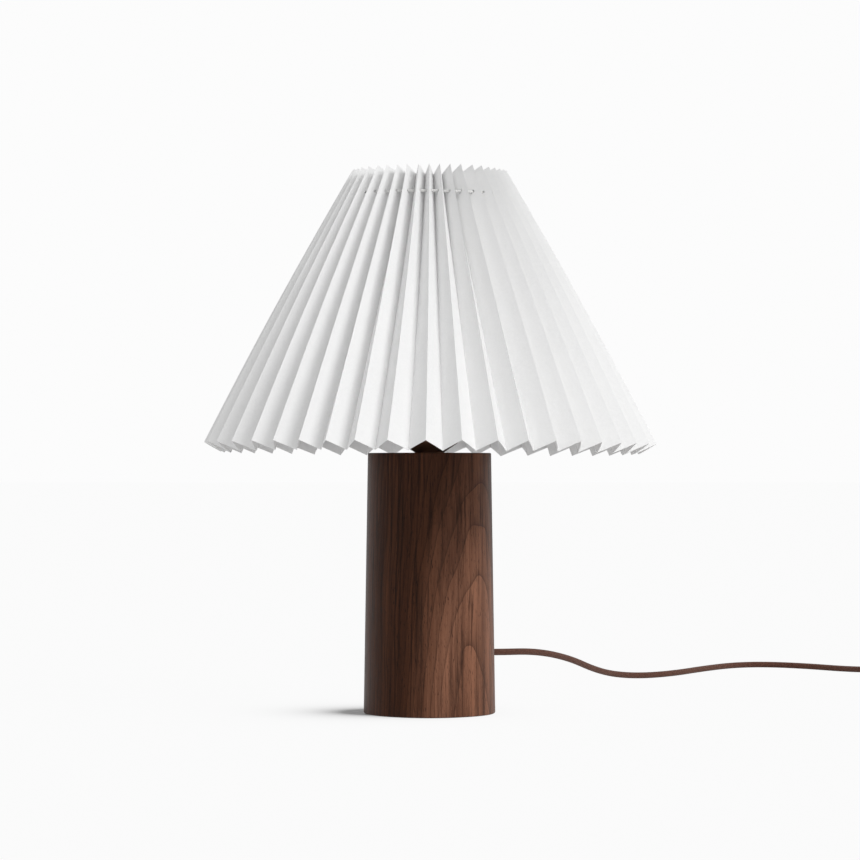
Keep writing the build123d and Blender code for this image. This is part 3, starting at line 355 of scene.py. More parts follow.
def make_plug_body():
    """A moulded plug: ribbed boot, rounded shoulder, three grip ribs and a softly rounded front."""
    rings = [(0, 4.3, 4.3, 2), (0.5, 4.5, 4.5, 2)]
    for rib in range(5):
        foot = 2.2 + rib * 3.0
        outside = 4.7 + rib * 0.5
        rings += [
            (foot, outside, outside, 2),
            (foot + 0.3, outside - 0.7, outside - 0.7, 2),
            (foot + 1.2, outside - 0.6, outside - 0.6, 2),
            (foot + 1.5, outside + 0.25, outside + 0.25, 2),
        ]
    rings += [(17.2, 7.0, 7.0, 2), (18.4, 7.9, 7.5, 2.1), (20.0, 10.2, 8.6, 2.6), (22.0, 11.9, 9.2, 3.2)]
    rings += [(24.0, 12.7, 9.5, 3.8), (26.0, 13.0, 9.6, 4.2)]
    for rib in range(3):
        foot = 27.5 + rib * 3.0
        rings += [
            (foot, 13.0, 9.6, 4.4),
            (foot + 0.4, 12.4, 9.35, 4.4),
            (foot + 1.6, 12.4, 9.35, 4.4),
            (foot + 2.0, 13.0, 9.6, 4.4),
        ]
    rings += [(38.0, 13.0, 9.6, 4.4), (40.4, 13.0, 9.6, 4.4), (41.2, 12.85, 9.45, 4.4), (41.8, 12.4, 9.0, 4.4)]
    rings += [(42.0, 11.6, 8.2, 4.4)]
    bm = sections(plug_origin, plug_way, rings)
    return add_piece(bm, "plug_moulding", "lamp", "brown_plastic", ["plug_body"], 30)


plug_moulding = make_plug_body()
lead_end_length = 10.0
lead_end_inset = 0.1


def make_switch_lead_ends():
    """The two short ends of the lead that the switch's bores hold."""
    ends = bmesh.new()
    near, far = line_to_switch[-1], line_to_plug[0]
    way = (far - near).normalized()
    start, end = way * lead_end_inset * mm, way * (lead_end_length - lead_end_inset) * mm
    for line in ([near + start, near + end], [far - end, far - start]):
        tube(line, lead_d / 2 * mm, into=ends)
    return add_piece(closed_ends(ends), "lead_in_switch", "lamp", "flex_fabric", ["switch_lead_ends"], all_smooth)


switch_pieces = [
    frame["nodes"][name]
    for name in (
        "switch_base",
        "switch_cover",
        "switch_screws",
        "switch_contacts",
        "rocker_pin",
        "switch_rocker",
    )
]
switch_pieces.append(make_switch_lead_ends())
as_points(line_to_switch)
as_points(line_to_plug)

# ---------------------------------------------------------------- pleated paper shade
pleat_count = 44
front_crest_angle = radians(-91)
hem_crest, hem_valley = (194.5, 233.3), (179.6, 225.17)
top_crest, top_valley = (66.7, 467.5), (52.5, 459.75)
paper_thickness = 0.4
side_bulge = 2.3  # how far the folds bow outwards half way up
hem_shift, top_shift = 1.9, -0.3  # to the right, against the lean
string_height = 444.0
string_ring = 70.9
# Where the folds and the edges of the string's holes lie across one panel.
across_panel = [0.0, 0.12, 0.25, 0.38, 0.62, 0.75, 0.88]
hole_column = 3
row_count = 26
hole_at = 0.9163
hole_half = 0.0038
shade_rows = sorted(
    [row / row_count for row in range(row_count + 1) if abs(row / row_count - hole_at) > 2 * hole_half]
    + [hole_at - hole_half, hole_at + hole_half]
)
paper_columns = 2 * pleat_count * len(across_panel)
# How far a fold may stand out of its even place, and how far a panel may bow.
radius_scatter, height_scatter, panel_bulge = 0.55, 0.3, 0.55
# The share of this that the string takes away at the top.
fold_grip, panel_grip = 0.75, 0.8
seam_panel = 44
lap_thickness, lap_clearance = 0.3, 0.06
# The real shade sits a little askew on its carrier, lower at the back and on the right.
askew_about = Vector((0, 0, 0.438))
askew_sinks = 0.0011
askew = (
    Matrix.Translation(askew_about - Vector((0, 0, askew_sinks)))
    @ Matrix.Rotation(radians(0.35), 4, "Y")
    @ Matrix.Rotation(radians(-0.36), 4, "X")
    @ Matrix.Translation(-askew_about)
)

random.seed(7)
# How far each crest stands from its even place, in degrees: the front ones listed, the others at random.
hem_swing = [random.uniform(-0.7, 0.7) for _ in range(pleat_count)]
top_swing = [random.uniform(-0.5, 0.5) for _ in range(pleat_count)]
front_hem_swing = [-0.25, 0.7, 1.3, 0.85, 0.7, -0.15, -0.8, -0.95, -0.05, 0.3]
front_hem_swing += [0.8, 0.3, -0.4, -1.1, -2.0, -2.3, -2.8, -2.3, -1.4, -0.7]
front_top_swing = [-0.9, -1.1, -0.3, 0.7, 1.2, 1.4, 1.0, 1.5, 1.0, 0.4, 0.0, -0.1, 1.2, 1.3, 1.0, 0.3, 0.0]
first_front_crest = -8
for offset, swing in enumerate(front_hem_swing):
    hem_swing[(first_front_crest + offset) % pleat_count] = swing
for offset, swing in enumerate(front_top_swing):
    top_swing[(first_front_crest + offset) % pleat_count] = swing
crest_depth = [random.uniform(-1, 1) for _ in range(pleat_count)]
valley_depth = [random.uniform(-1, 1) for _ in range(pleat_count)]
panel_bow = [random.uniform(0.5, 1) for _ in range(2 * pleat_count)]


def fold_point(number, share):
    """A point on fold line number, even for a crest and odd for a valley, in cylinder coordinates."""
    pleat, is_valley = (number // 2) % pleat_count, number % 2
    low, high = (hem_valley, top_valley) if is_valley else (hem_crest, top_crest)
    following = (pleat + is_valley) % pleat_count
    swing_low = (hem_swing[pleat] + hem_swing[following]) / 2
    swing_high = (top_swing[pleat] + top_swing[following]) / 2
    swing = swing_low + (swing_high - swing_low) * share
    depth = (valley_depth if is_valley else crest_depth)[pleat]
    slack = 1 - fold_grip * share
    radius = low[0] + (high[0] - low[0]) * share + depth * radius_scatter * slack + side_bulge * sin(pi * share)
    height = low[1] + (high[1] - low[1]) * share + depth * height_scatter
    angle = front_crest_angle + number * pi / pleat_count + radians(swing)
    return radius, angle, height


def paper_point(column, share, inward=0.0):
    """A point of the paper: folds stay straight and sharp, and panels bow a little between them."""
    panel, step = divmod(column, len(across_panel))
    across = across_panel[step]
    near, far = fold_point(panel, share), fold_point(panel + 1, share)
    first = Vector((near[0] * cos(near[1]), near[0] * sin(near[1]), near[2]))
    last = Vector((far[0] * cos(far[1]), far[0] * sin(far[1]), far[2]))
    point = first.lerp(last, across)
    along = (last - first).normalized()
    outward = Vector((along.y, -along.x, 0)).normalized()
    if outward.x * point.x + outward.y * point.y < 0:
        outward = -outward
    slack = 1 - panel_grip * share
    bow = sin(pi * across) * panel_bow[panel] * panel_bulge * slack
    lean = Vector((hem_shift + (top_shift - hem_shift) * share, 0, 0))
    return point + outward * (bow - inward) + lean


def paper_sheet(first, count, inward=0.0):
    """Count columns of the pleats as an open sheet, with one face left out of each panel for the string."""
    rows = len(shade_rows) - 1

    def place(column, row):
        return paper_point((first + column) % paper_columns, shade_rows[row], inward) * mm

    sheet = rolled_sheet(count, rows, place)
    uv = sheet.loops.layers.uv.active
    hole_row = shade_rows.index(hole_at - hole_half)
    holes = []
    for face in sheet.faces:
        column = int(sum(loop[uv].uv.x for loop in face.loops) / len(face.loops) * count)
        row = int(sum(loop[uv].uv.y for loop in face.loops) / len(face.loops) * rows)
        if (first + column) % len(across_panel) == hole_column and row == hole_row:
            holes.append(face)
    bmesh.ops.delete(sheet, geom=holes, context="FACES")
    return sheet


def make_paper():
    paper = thickened(paper_sheet(0, paper_columns), paper_thickness)
    return add_piece(paper, "paper_pleats", "shade", "shade_paper", ["pleated_shade"], 24, askew)


def make_seam():
    """The doubled paper where the pleated strip is joined, inside one panel at the back."""
    first, count = seam_panel * len(across_panel) + 1, len(across_panel) - 2
    lap = thickened(paper_sheet(first, count, paper_thickness + lap_clearance), lap_thickness)
    return add_piece(lap, "paper_lap", "shade", "shade_paper", ["seam_strip"], 24, askew)


make_paper()
make_seam()

# ---------------------------------------------------------------- draw string
strand_radius = 0.66
strand_ring = 0.6
strand_count = 3
string_turns = 74
steps_per_turn = 8
string_bulge = 0.35
knot_ring = 73.5
knot_fold = 45  # the fold that the knot stands over, counted from the front crest
knot_size = 0.55
knot_steps = 72


def twisted(line, turns, into):
    """Lays three strands round a closed line."""
    found = frames_along(line, True)
    for strand in range(strand_count):
        points = []
        for index, (point, side, up, _) in enumerate(found):
            turn = tau * (strand / strand_count + turns * index / (len(found) - 1))
            points.append(point + (side * cos(turn) + up * sin(turn)) * strand_ring * mm)
        tube(points, strand_radius * mm, around=7, loop=True, into=into)


def make_string():
    rope = bmesh.new()
    steps = string_turns * steps_per_turn
    line = []
    for step in range(steps + 1):
        turn = tau * step / steps
        # It stands a little proud in each outer valley, where nothing holds it.
        bulge = string_bulge * cos(pleat_count * (turn - front_crest_angle) + pi)
        ring = (string_ring + bulge) * mm
        line.append(Vector((ring * cos(turn), ring * sin(turn), string_height * mm)))
    twisted(line, string_turns, rope)
    closed_ends(rope)
    add_piece(rope, "string_strands", "shade", "white_cord", ["draw_string"], all_smooth, askew)


def make_knot():
    """A trefoil of string with two loose tails."""
    angle = front_crest_angle + knot_fold * pi / pleat_count
    out = Vector((cos(angle), sin(angle), 0))
    across = Vector((-out.y, out.x, 0))
    up = Vector((0, 0, 1))
    middle = out * knot_ring + up * string_height
    knot = bmesh.new()
    line = []
    for step in range(knot_steps + 1):
        t = tau * step / knot_steps
        a, b, c = sin(t) + 2 * sin(2 * t), cos(t) - 2 * cos(2 * t), -sin(3 * t)
        line.append((middle + (across * a + up * b * 0.8 + out * c * 1.1) * knot_size) * mm)
    tube(line, 0.72 * mm, around=10, loop=True, into=knot)
    for side in (-1, 1):
        # How far each point of the tail is across, down and out from the knot's middle.
        steps = ((0.9, 0.8, 0.0), (1.4, 2.4, 0.6), (1.7, 4.6, 1.4), (1.5, 7.4, 2.6 + side * 0.4))
        tail = [middle + across * side * x - up * down + out * y for x, down, y in steps]
        tube(smooth_line("tail", tail, 6), 0.7 * mm, around=9, into=knot)
    closed_ends(knot)
    add_piece(knot, "knot_strands", "shade", "white_cord", ["string_knot"], all_smooth, askew)


make_string()
make_knot()


# ---------------------------------------------------------------- turned wood and felt
def rounded_corner(centre, radius, start, end, steps=6):
    """Points on a quarter round, in millimetres."""
    return [
        (
            centre[0] + radius * cos(radians(start + (end - start) * step / steps)),
            centre[1] + radius * sin(radians(start + (end - start) * step / steps)),
        )
        for step in range(steps + 1)
    ]


def make_column():
    """Turned from the outline of its bore, wiring chamber, recess for the ballast, cover's rebate and outside."""
    bore, chamber, recess, rebate = 5.3, 35.0, 44.5, 49.0
    foot, top = (56.5, 0.8), (53.0, 224.0)
    foot_round, top_round = 1.5, 0.9
    wall_steps = 24
    outline = [(bore, 88.0), (chamber, 88.0), (chamber, 25.5), (recess, 25.5), (recess, 3.5), (rebate, 3.5)]
    outline.append((rebate, foot[1]))
    outline += rounded_corner((foot[0] - foot_round, foot[1] + foot_round), foot_round, -90, 0)
    for step in range(1, wall_steps):
        share = step / wall_steps
        outline.append((foot[0] + (top[0] - foot[0]) * share, foot[1] + (top[1] - foot[1]) * share))
    outline += rounded_corner((top[0] - top_round, top[1] - top_round), top_round, 0, 90)
    outline += [(30.0, top[1]), (bore, top[1])]
    add_piece(spun(outline, 192), "turned_column", "lamp", "walnut", ["wood_column"], 30)


def make_felt():
    outline = [(0.0, 0.05), (47.4, 0.05), (48.0, 0.3), (48.2, 0.8), (48.0, 1.3), (47.4, 1.5), (0.0, 1.5)]
    felt = spun(outline, 120)
    return add_piece(felt, "felt_disc", "lamp", "felt", ["felt_pad"], 50)


make_felt()


def make_strain_relief():
    """A ribbed rubber nose on a flange, along the way the lead leaves."""
    rings = [(0, 5.4, 5.4, 2), (26.0, 5.4, 5.4, 2), (26.0, 6.7, 6.7, 2), (26.6, 7.0, 7.0, 2), (27.6, 7.0, 7.0, 2)]
    rings += [(28.2, 6.6, 6.6, 2), (28.4, 5.6, 5.6, 2)]
    for rib in range(6):
        foot = 29.6 + rib * 3.0
        outside = 5.45 - rib * 0.24
        rings += [
            (foot, outside, outside, 2),
            (foot + 0.25, outside - 0.75, outside - 0.75, 2),
            (foot + 1.15, outside - 0.75, outside - 0.75, 2),
            (foot + 1.4, outside - 0.06, outside - 0.06, 2),
        ]
    rings += [(48.2, 4.1, 4.1, 2), (48.8, 3.9, 3.9, 2), (49.0, 3.4, 3.4, 2)]
    bm = sections((0, 29.0, 46.0), (0, 1, 0), rings, 40)
    return add_piece(bm, "relief_ribs", "lamp", "brown_rubber", ["strain_relief"], 30)


make_strain_relief()


def make_inner_lead():
    points = [(0, 77.5, 46), (0, 50, 46), (0, 25, 46), (0, 3, 46), (0, 0, 50), (0, 0, 70), (0, 0, 120), (0, 0, 240.8)]
    line = smooth_line("inner_line", points, 12)
    add_piece(closed_ends(tube(line, 2.98 * mm)), "lead_inside", "lamp", "flex_fabric", ["inner_lead"], all_smooth)


make_inner_lead()


# ---------------------------------------------------------------- threads
def threaded(bm, low, high, pitch, depth):
    """Cuts a round thread into the wall between two heights, in millimetres."""
    for vert in bm.verts:
        height = vert.co.z / mm
        if not low < height < high:
            continue
        radius = hypot(vert.co.x, vert.co.y)
        run_in = min(1, (height - low) / pitch, (high - height) / pitch)
        wave = 0.5 - 0.5 * cos(tau * height / pitch - atan2(vert.co.y, vert.co.x))
        change = -depth * mm * wave * run_in
        vert.co.x *= (radius + change) / radius
        vert.co.y *= (radius + change) / radius
    return bm


def stepped(radius, low, high, spacing):
    """Points up a straight wall, close enough together to carry a thread."""
    count = max(2, round((high - low) / spacing))
    return [(radius, low + (high - low) * step / count) for step in range(count + 1)]


bulb_thread_pitch = 3.6
ring_thread_pitch, ring_thread_depth = 2.4, 0.55


def make_screw_cap():
    low, high = (corner.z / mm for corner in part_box("bulb_screw_cap"))
    outline = [(11.35, low)] + stepped(12.95, low + 0.3, high, 0.45) + [(11.35, high)]
    cap = threaded(spun(outline, 72), low + 0.4, high - 1.6, bulb_thread_pitch, 0.95)
    add_piece(cap, "threaded_cap", "bulb", "nickel", ["bulb_screw_cap"], 50)


def make_screw_socket():
    low, high = (corner.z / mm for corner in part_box("screw_socket"))
    outline = [(10.3, low), (13.7, low)] + stepped(13.7, low + 0.4, high, 0.6)
    outline += stepped(13.3, low + 0.4, high, 0.6)[::-1] + [(10.3, low + 0.4)]
    socket = threaded(spun(outline, 72), low + 1.5, high - 0.5, bulb_thread_pitch, 0.24)
    add_piece(socket, "threaded_socket", "lamp", "brass", ["screw_socket"], 50)


def make_sleeve():
    """The lampholder's outside, with a flange and, above it, the coarse thread for the ring nut."""
    low, high = (corner.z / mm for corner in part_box("lampholder_sleeve"))
    wall, flange = 19.5, 22.5
    outline = [(16.5, low), (wall, low), (wall, 262.0), (22.1, 262.0), (flange, 262.4), (flange, 264.5)]
    outline += [(wall, 264.5)] + stepped(wall, 266.2, high - 1.5, 0.4)
    outline += rounded_corner((18.0, high - 1.5), 1.5, 0, 90) + [(13.45, high), (13.45, 281.3), (13.8, 281.3)]
    outline += [(13.8, 256.0), (16.5, 256.0)]
    sleeve = spun(outline, 96)
    for vert in sleeve.verts:
        height, radius = vert.co.z / mm, hypot(vert.co.x, vert.co.y) / mm
        if 266.4 < height < high - 2 and radius > 19:
            wave = 0.5 - 0.5 * cos(tau * height / ring_thread_pitch - atan2(vert.co.y, vert.co.x))
            vert.co.x *= 1 - ring_thread_depth / wall * wave
            vert.co.y *= 1 - ring_thread_depth / wall * wave
    add_piece(sleeve, "threaded_sleeve", "lamp", "holder_plastic", ["lampholder_sleeve"], 40)


make_screw_cap()
make_screw_socket()
make_sleeve()
make_column()


# ---------------------------------------------------------------- shared effects for the finishes
def new_group(name, inputs, outputs):
    group = bpy.data.node_groups.new(name, "ShaderNodeTree")
    for label, kind, value in inputs:
        socket = group.interface.new_socket(name=label, in_out="INPUT", socket_type=kind)
        if value is not None:
            socket.default_value = value
    for label, kind in outputs:
        group.interface.new_socket(name=label, in_out="OUTPUT", socket_type=kind)
    return group, group.nodes.new("NodeGroupInput"), group.nodes.new("NodeGroupOutput")


def node(tree, kind, **values):
    made = tree.nodes.new(kind)
    for key, value in values.items():
        setattr(made, key, value)
    return made


def wire(tree, source, target):
    tree.links.new(source, target)


def give(tree, value, socket):
    """Joins another node's socket to this one, or sets a number, a vector or a colour on it."""
    if isinstance(value, bpy.types.NodeSocket):
        wire(tree, value, socket)
    else:
        socket.default_value = (*value, 1) if socket.type == "RGBA" else value


def calc(tree, operation, *values):
    """The result of a Math node."""
    made = node(tree, "ShaderNodeMath", operation=operation)
    for value, socket in zip(values, made.inputs):
        give(tree, value, socket)
    return made.outputs[0]


def ranged(tree, value, low, high, to_low=0.0, to_high=1.0, smooth=False):
    """The value carried over from one range to another, and held at its ends."""
    made = node(tree, "ShaderNodeMapRange", interpolation_type="SMOOTHSTEP" if smooth else "LINEAR")
    wire(tree, value, made.inputs["Value"])
    for label, number in (("From Min", low), ("From Max", high), ("To Min", to_low), ("To Max", to_high)):
        give(tree, number, made.inputs[label])
    return made.outputs["Result"]


def blended(tree, share, first, second, blend="MIX"):
    """A mix of two colours."""
    made = node(tree, "ShaderNodeMix", data_type="RGBA", blend_type=blend)
    # The colour form of this node keeps its share, colours and result at these places.
    for place, value in ((0, share), (6, first), (7, second)):
        give(tree, value, made.inputs[place])
    return made.outputs[2]


def stretched_noise(tree, vector, stretch, scale, detail=5.0, roughness=0.55):
    """Noise that repeats stretch times scale in a metre, along each axis."""
    scaled = node(tree, "ShaderNodeVectorMath", operation="MULTIPLY")
    wire(tree, vector, scaled.inputs[0])
    give(tree, stretch, scaled.inputs[1])
    made = node(tree, "ShaderNodeTexNoise")
    wire(tree, scaled.outputs[0], made.inputs["Vector"])
    for label, value in (("Scale", scale), ("Detail", detail), ("Roughness", roughness), ("Distortion", 0.0)):
        give(tree, value, made.inputs[label])
    return made.outputs["Fac"]


def make_mottle_group():
    """Soft patches between two colours, with a roughness that follows them."""
    group, given, result = new_group(
        "soft_mottle",
        [
            ("Vector", "NodeSocketVector", None),
            ("Scale", "NodeSocketFloat", 60.0),
            ("Stretch", "NodeSocketVector", (1, 1, 1)),
            ("Dark", "NodeSocketColor", None),
            ("Light", "NodeSocketColor", None),
            ("Roughness Low", "NodeSocketFloat", 0.4),
            ("Roughness High", "NodeSocketFloat", 0.6),
        ],
        [("Color", "NodeSocketColor"), ("Roughness", "NodeSocketFloat")],
    )
    patches = stretched_noise(group, given.outputs["Vector"], given.outputs["Stretch"], given.outputs["Scale"])
    share = ranged(group, patches, 0.36, 0.64)
    mixed = blended(group, share, given.outputs["Dark"], given.outputs["Light"])
    wire(group, mixed, result.inputs["Color"])
    rough = ranged(group, patches, 0.3, 0.7, given.outputs["Roughness Low"], given.outputs["Roughness High"])
    wire(group, rough, result.inputs["Roughness"])
    return group


def make_relief_group():
    """Fine surface relief: the skin of a moulding, a casting, a coat of powder or brushed metal."""
    group, given, result = new_group(
        "fine_relief",
        [
            ("Vector", "NodeSocketVector", None),
            ("Scale", "NodeSocketFloat", 600.0),
            ("Stretch", "NodeSocketVector", (1, 1, 1)),
        ],
        [("Height", "NodeSocketFloat")],
    )
    fine = stretched_noise(group, given.outputs["Vector"], given.outputs["Stretch"], given.outputs["Scale"], 4, 0.7)
    wire(group, fine, result.inputs["Height"])
    return group


def make_braid_group():
    """Two sets of yarns that cross over and under each other, on a piece's own UV."""
    group, given, result = new_group(
        "crossed_yarns",
        [
            ("Vector", "NodeSocketVector", None),
            ("Yarns", "NodeSocketFloat", 12.0),
            ("Pitch", "NodeSocketFloat", 500.0),
        ],
        [("Height", "NodeSocketFloat"), ("Tone", "NodeSocketFloat")],
    )
    split = node(group, "ShaderNodeSeparateXYZ")
    wire(group, given.outputs["Vector"], split.inputs[0])
    across = calc(group, "MULTIPLY", split.outputs[0], given.outputs["Yarns"])
    along = calc(group, "MULTIPLY", split.outputs[1], given.outputs["Pitch"])
    right = calc(group, "ADD", across, along)
    left = calc(group, "SUBTRACT", across, along)
    crown_right = calc(group, "ABSOLUTE", calc(group, "SINE", calc(group, "MULTIPLY", right, pi)))
    crown_left = calc(group, "ABSOLUTE", calc(group, "SINE", calc(group, "MULTIPLY", left, pi)))
    cells = calc(group, "ADD", calc(group, "FLOOR", right), calc(group, "FLOOR", left))
    over = calc(group, "GREATER_THAN", calc(group, "FLOORED_MODULO", cells, 2.0), 0.5)
    under = calc(group, "SUBTRACT", 1.0, over)
    height = calc(group, "MULTIPLY_ADD", crown_right, over, calc(group, "MULTIPLY", crown_left, under))
    wire(group, height, result.inputs["Height"])
    wire(group, over, result.inputs["Tone"])
    return group


mottle_group = make_mottle_group()
relief_group = make_relief_group()
braid_group = make_braid_group()


def placed_group(tree, group, vector, **values):
    made = node(tree, "ShaderNodeGroup", node_tree=group)
    wire(tree, vector, made.inputs["Vector"])
    for label, value in values.items():
        give(tree, value, made.inputs[label.replace("_", " ")])
    return made


def new_finish(name, **sockets):
    """A material with its shader and its Object coordinates. Values go straight on the shader's sockets."""
    material = bpy.data.materials.new(name)
    material.use_nodes = True
    tree = material.node_tree
    shader = tree.nodes["Principled BSDF"]
    for label, value in sockets.items():
        shader.inputs[label.replace("_", " ")].default_value = value
    places = node(tree, "ShaderNodeTexCoord")
    return material, tree, shader, places


def raised(tree, shader, height, depth):
    """Relief on a finish, depth millimetres from its lowest to its highest."""
    bump = node(tree, "ShaderNodeBump")
    bump.inputs["Distance"].default_value = depth * mm
    bump.inputs["Strength"].default_value = 1.0
    wire(tree, height, bump.inputs["Height"])
    wire(tree, bump.outputs["Normal"], shader.inputs["Normal"])


# ---------------------------------------------------------------- plain finishes
finishes = {}
even = (1, 1, 1)


def plain_finish(
    slot, dark, light, roughness, patches, skin, depth, metal=0.0, patch_stretch=even, skin_stretch=even, **extra
):
    """Soft patches between two colours under a fine relief. Both repeat the given number of times in a metre."""
    material, tree, shader, places = new_finish(slot + "_finish", Metallic=metal, **extra)
    mottle = placed_group(
        tree, mottle_group, places.outputs["Object"], Scale=patches, Stretch=patch_stretch, Dark=dark, Light=light,
        Roughness_Low=roughness[0], Roughness_High=roughness[1],
    )
    wire(tree, mottle.outputs["Color"], shader.inputs["Base Color"])
    wire(tree, mottle.outputs["Roughness"], shader.inputs["Roughness"])
    relief = placed_group(tree, relief_group, places.outputs["Object"], Scale=skin, Stretch=skin_stretch)
    raised(tree, shader, relief.outputs["Height"], depth)
    finishes[slot] = material


# Painted light: the cup's brown is lighter than a dark bronze, to lift it in the dim under the shade.
plain_finish("dark_bronze", (0.150, 0.072, 0.044), (0.195, 0.098, 0.060), (0.42, 0.56), 90, 900, 0.04)
plain_finish("white_wire", (0.82, 0.82, 0.80), (0.88, 0.88, 0.87), (0.42, 0.55), 70, 1100, 0.06)
plain_finish(
    "zinc_steel", (0.44, 0.45, 0.46), (0.62, 0.62, 0.61), (0.28, 0.44), 160, 900, 0.02, metal=1.0,
    skin_stretch=(1, 1, 6),
)
plain_finish("cast_weight", (0.035, 0.035, 0.037), (0.06, 0.06, 0.06), (0.6, 0.8), 80, 420, 0.3, metal=0.3)
plain_finish("cover_steel", (0.03, 0.03, 0.03), (0.05, 0.05, 0.05), (0.4, 0.55), 60, 800, 0.05, metal=0.3)
plain_finish(
    "brass", (0.55, 0.37, 0.14), (0.78, 0.57, 0.25), (0.22, 0.38), 120, 700, 0.01, metal=1.0, skin_stretch=(1, 1, 8)
)
plain_finish(
    "core_insulation", (0.03, 0.05, 0.2), (0.05, 0.08, 0.28), (0.4, 0.5), 200, 900, 0.02, skin_stretch=(1, 1, 0.2)
)
plain_finish("brown_rubber", (0.016, 0.009, 0.006), (0.028, 0.016, 0.011), (0.55, 0.72), 120, 1500, 0.05)
plain_finish("brown_plastic", (0.030, 0.014, 0.009), (0.042, 0.020, 0.013), (0.36, 0.48), 90, 1300, 0.05)
plain_finish(
    "holder_plastic", (0.008, 0.007, 0.006), (0.014, 0.012, 0.011), (0.18, 0.3), 60, 500, 0.02,
    patch_stretch=(1, 1, 3), skin_stretch=(1, 1, 3),
)
plain_finish("white_ceramic", (0.68, 0.66, 0.61), (0.78, 0.77, 0.73), (0.45, 0.65), 150, 900, 0.06)
plain_finish(
    "opal_glass", (0.82, 0.81, 0.78), (0.86, 0.855, 0.84), (0.12, 0.18), 30, 60, 0.03,
    Subsurface_Weight=0.25, Subsurface_Radius=(0.004, 0.004, 0.004), Coat_Weight=0.4, Coat_Roughness=0.06,
)
plain_finish("black_glass", (0.006, 0.006, 0.007), (0.012, 0.012, 0.014), (0.12, 0.25), 150, 500, 0.03)
plain_finish("bulb_plastic", (0.74, 0.74, 0.72), (0.80, 0.80, 0.78), (0.36, 0.46), 60, 1200, 0.03)
plain_finish("nickel", (0.52, 0.51, 0.49), (0.66, 0.65, 0.63), (0.2, 0.34), 130, 900, 0.01, metal=1.0)
plain_finish("board_white", (0.66, 0.68, 0.66), (0.74, 0.75, 0.73), (0.35, 0.5), 120, 900, 0.02)
plain_finish(
    "felt", (0.012, 0.008, 0.006), (0.030, 0.021, 0.016), (0.9, 1.0), 900, 1600, 0.5,
    Sheen_Weight=0.25, Sheen_Roughness=0.5,
)


# ---------------------------------------------------------------- paper, string and woven finishes
def make_paper_finish():
    material, tree, shader, places = new_finish("pleated_paper_finish", Specular_IOR_Level=0.25)
    fibres = stretched_noise(tree, places.outputs["Object"], even, 420, 6, 0.7)
    clouds = stretched_noise(tree, places.outputs["Object"], (1, 1, 0.6), 26, 3, 0.5)
    tone = blended(tree, ranged(tree, clouds, 0.3, 0.7), (0.87, 0.87, 0.87), (0.90, 0.90, 0.898))
    flecks = blended(tree, ranged(tree, fibres, 0.35, 0.7), tone, (0.915, 0.915, 0.913))
    wire(tree, flecks, shader.inputs["Base Color"])
    wire(tree, ranged(tree, fibres, 0.3, 0.7, 0.66, 0.82), shader.inputs["Roughness"])
    raised(tree, shader, fibres, 0.06)
    return material


def make_string_finish():
    material, tree, shader, places = new_finish("cotton_string_finish", Specular_IOR_Level=0.2)
    twist = placed_group(tree, braid_group, places.outputs["UV"], Yarns=5.0, Pitch=700.0)
    # Painted shade: the twist's low places are darker and its crowns lighter.
    tone = blended(tree, twist.outputs["Height"], (0.72, 0.715, 0.70), (0.88, 0.88, 0.87))
    wire(tree, tone, shader.inputs["Base Color"])
    fuzz = stretched_noise(tree, places.outputs["Object"], even, 2200, 3, 0.6)
    wire(tree, ranged(tree, fuzz, 0.3, 0.7, 0.8, 0.95), shader.inputs["Roughness"])
    raised(tree, shader, calc(tree, "ADD", twist.outputs["Height"], fuzz), 0.12)
    return material


def make_flex_finish():
    material, tree, shader, places = new_finish(
        "woven_flex_finish", Specular_IOR_Level=0.15, Sheen_Weight=0.05, Sheen_Roughness=0.45
    )
    braid = placed_group(tree, braid_group, places.outputs["UV"], Yarns=11.0, Pitch=560.0)
    patches = placed_group(
        tree, mottle_group, places.outputs["Object"], Scale=900.0, Stretch=even, Dark=(0.115, 0.044, 0.027),
        Light=(0.205, 0.092, 0.062), Roughness_Low=0.62, Roughness_High=0.82,
    )
    # Painted shade: the low places between the yarns are darkened.
    painted_hollow_shade = blended(tree, 1.0, patches.outputs["Color"], (0.32, 0.32, 0.34), "MULTIPLY")
    tone = blended(tree, ranged(tree, braid.outputs["Height"], 0.15, 0.75), painted_hollow_shade, patches.outputs["Color"])
    wire(tree, tone, shader.inputs["Base Color"])
    wire(tree, patches.outputs["Roughness"], shader.inputs["Roughness"])
    raised(tree, shader, braid.outputs["Height"], 0.25)
    return material


def make_strap_finish():
    material, tree, shader, places = new_finish("woven_strap_finish", Specular_IOR_Level=0.25)
    weave = placed_group(tree, braid_group, places.outputs["UV"], Yarns=44.0, Pitch=1200.0)
    # Painted shade: the weave's low places are darker than its crowns.
    tone = blended(tree, weave.outputs["Height"], (0.008, 0.005, 0.004), (0.026, 0.016, 0.012))
    wire(tree, tone, shader.inputs["Base Color"])
    rough = ranged(tree, weave.outputs["Height"], 0.0, 1.0, 0.85, 0.65)
    wire(tree, rough, shader.inputs["Roughness"])
    raised(tree, shader, weave.outputs["Height"], 0.15)
    return material


finishes["shade_paper"] = make_paper_finish()
finishes["white_cord"] = make_string_finish()
finishes["flex_fabric"] = make_flex_finish()
finishes["tie_fabric"] = make_strap_finish()


# ---------------------------------------------------------------- walnut
wander_stretch = (9, 9, 3.4)
wander_reach = (0.022, 0.022, 0.0)
heart = (-0.0631, 0.0851)  # where the middle of the tree crosses z 0
heart_moves = (0.03245, -0.04455)  # and how far it moves for each metre up
rings_per_metre = 230.0
wide_bands = 330.0
late_wood_edge, late_wood_slope = 0.52, 0.20
painted_shade_reach = (0.139, 0.156)  # metres from the heart over which the painted shade fades from all to nothing
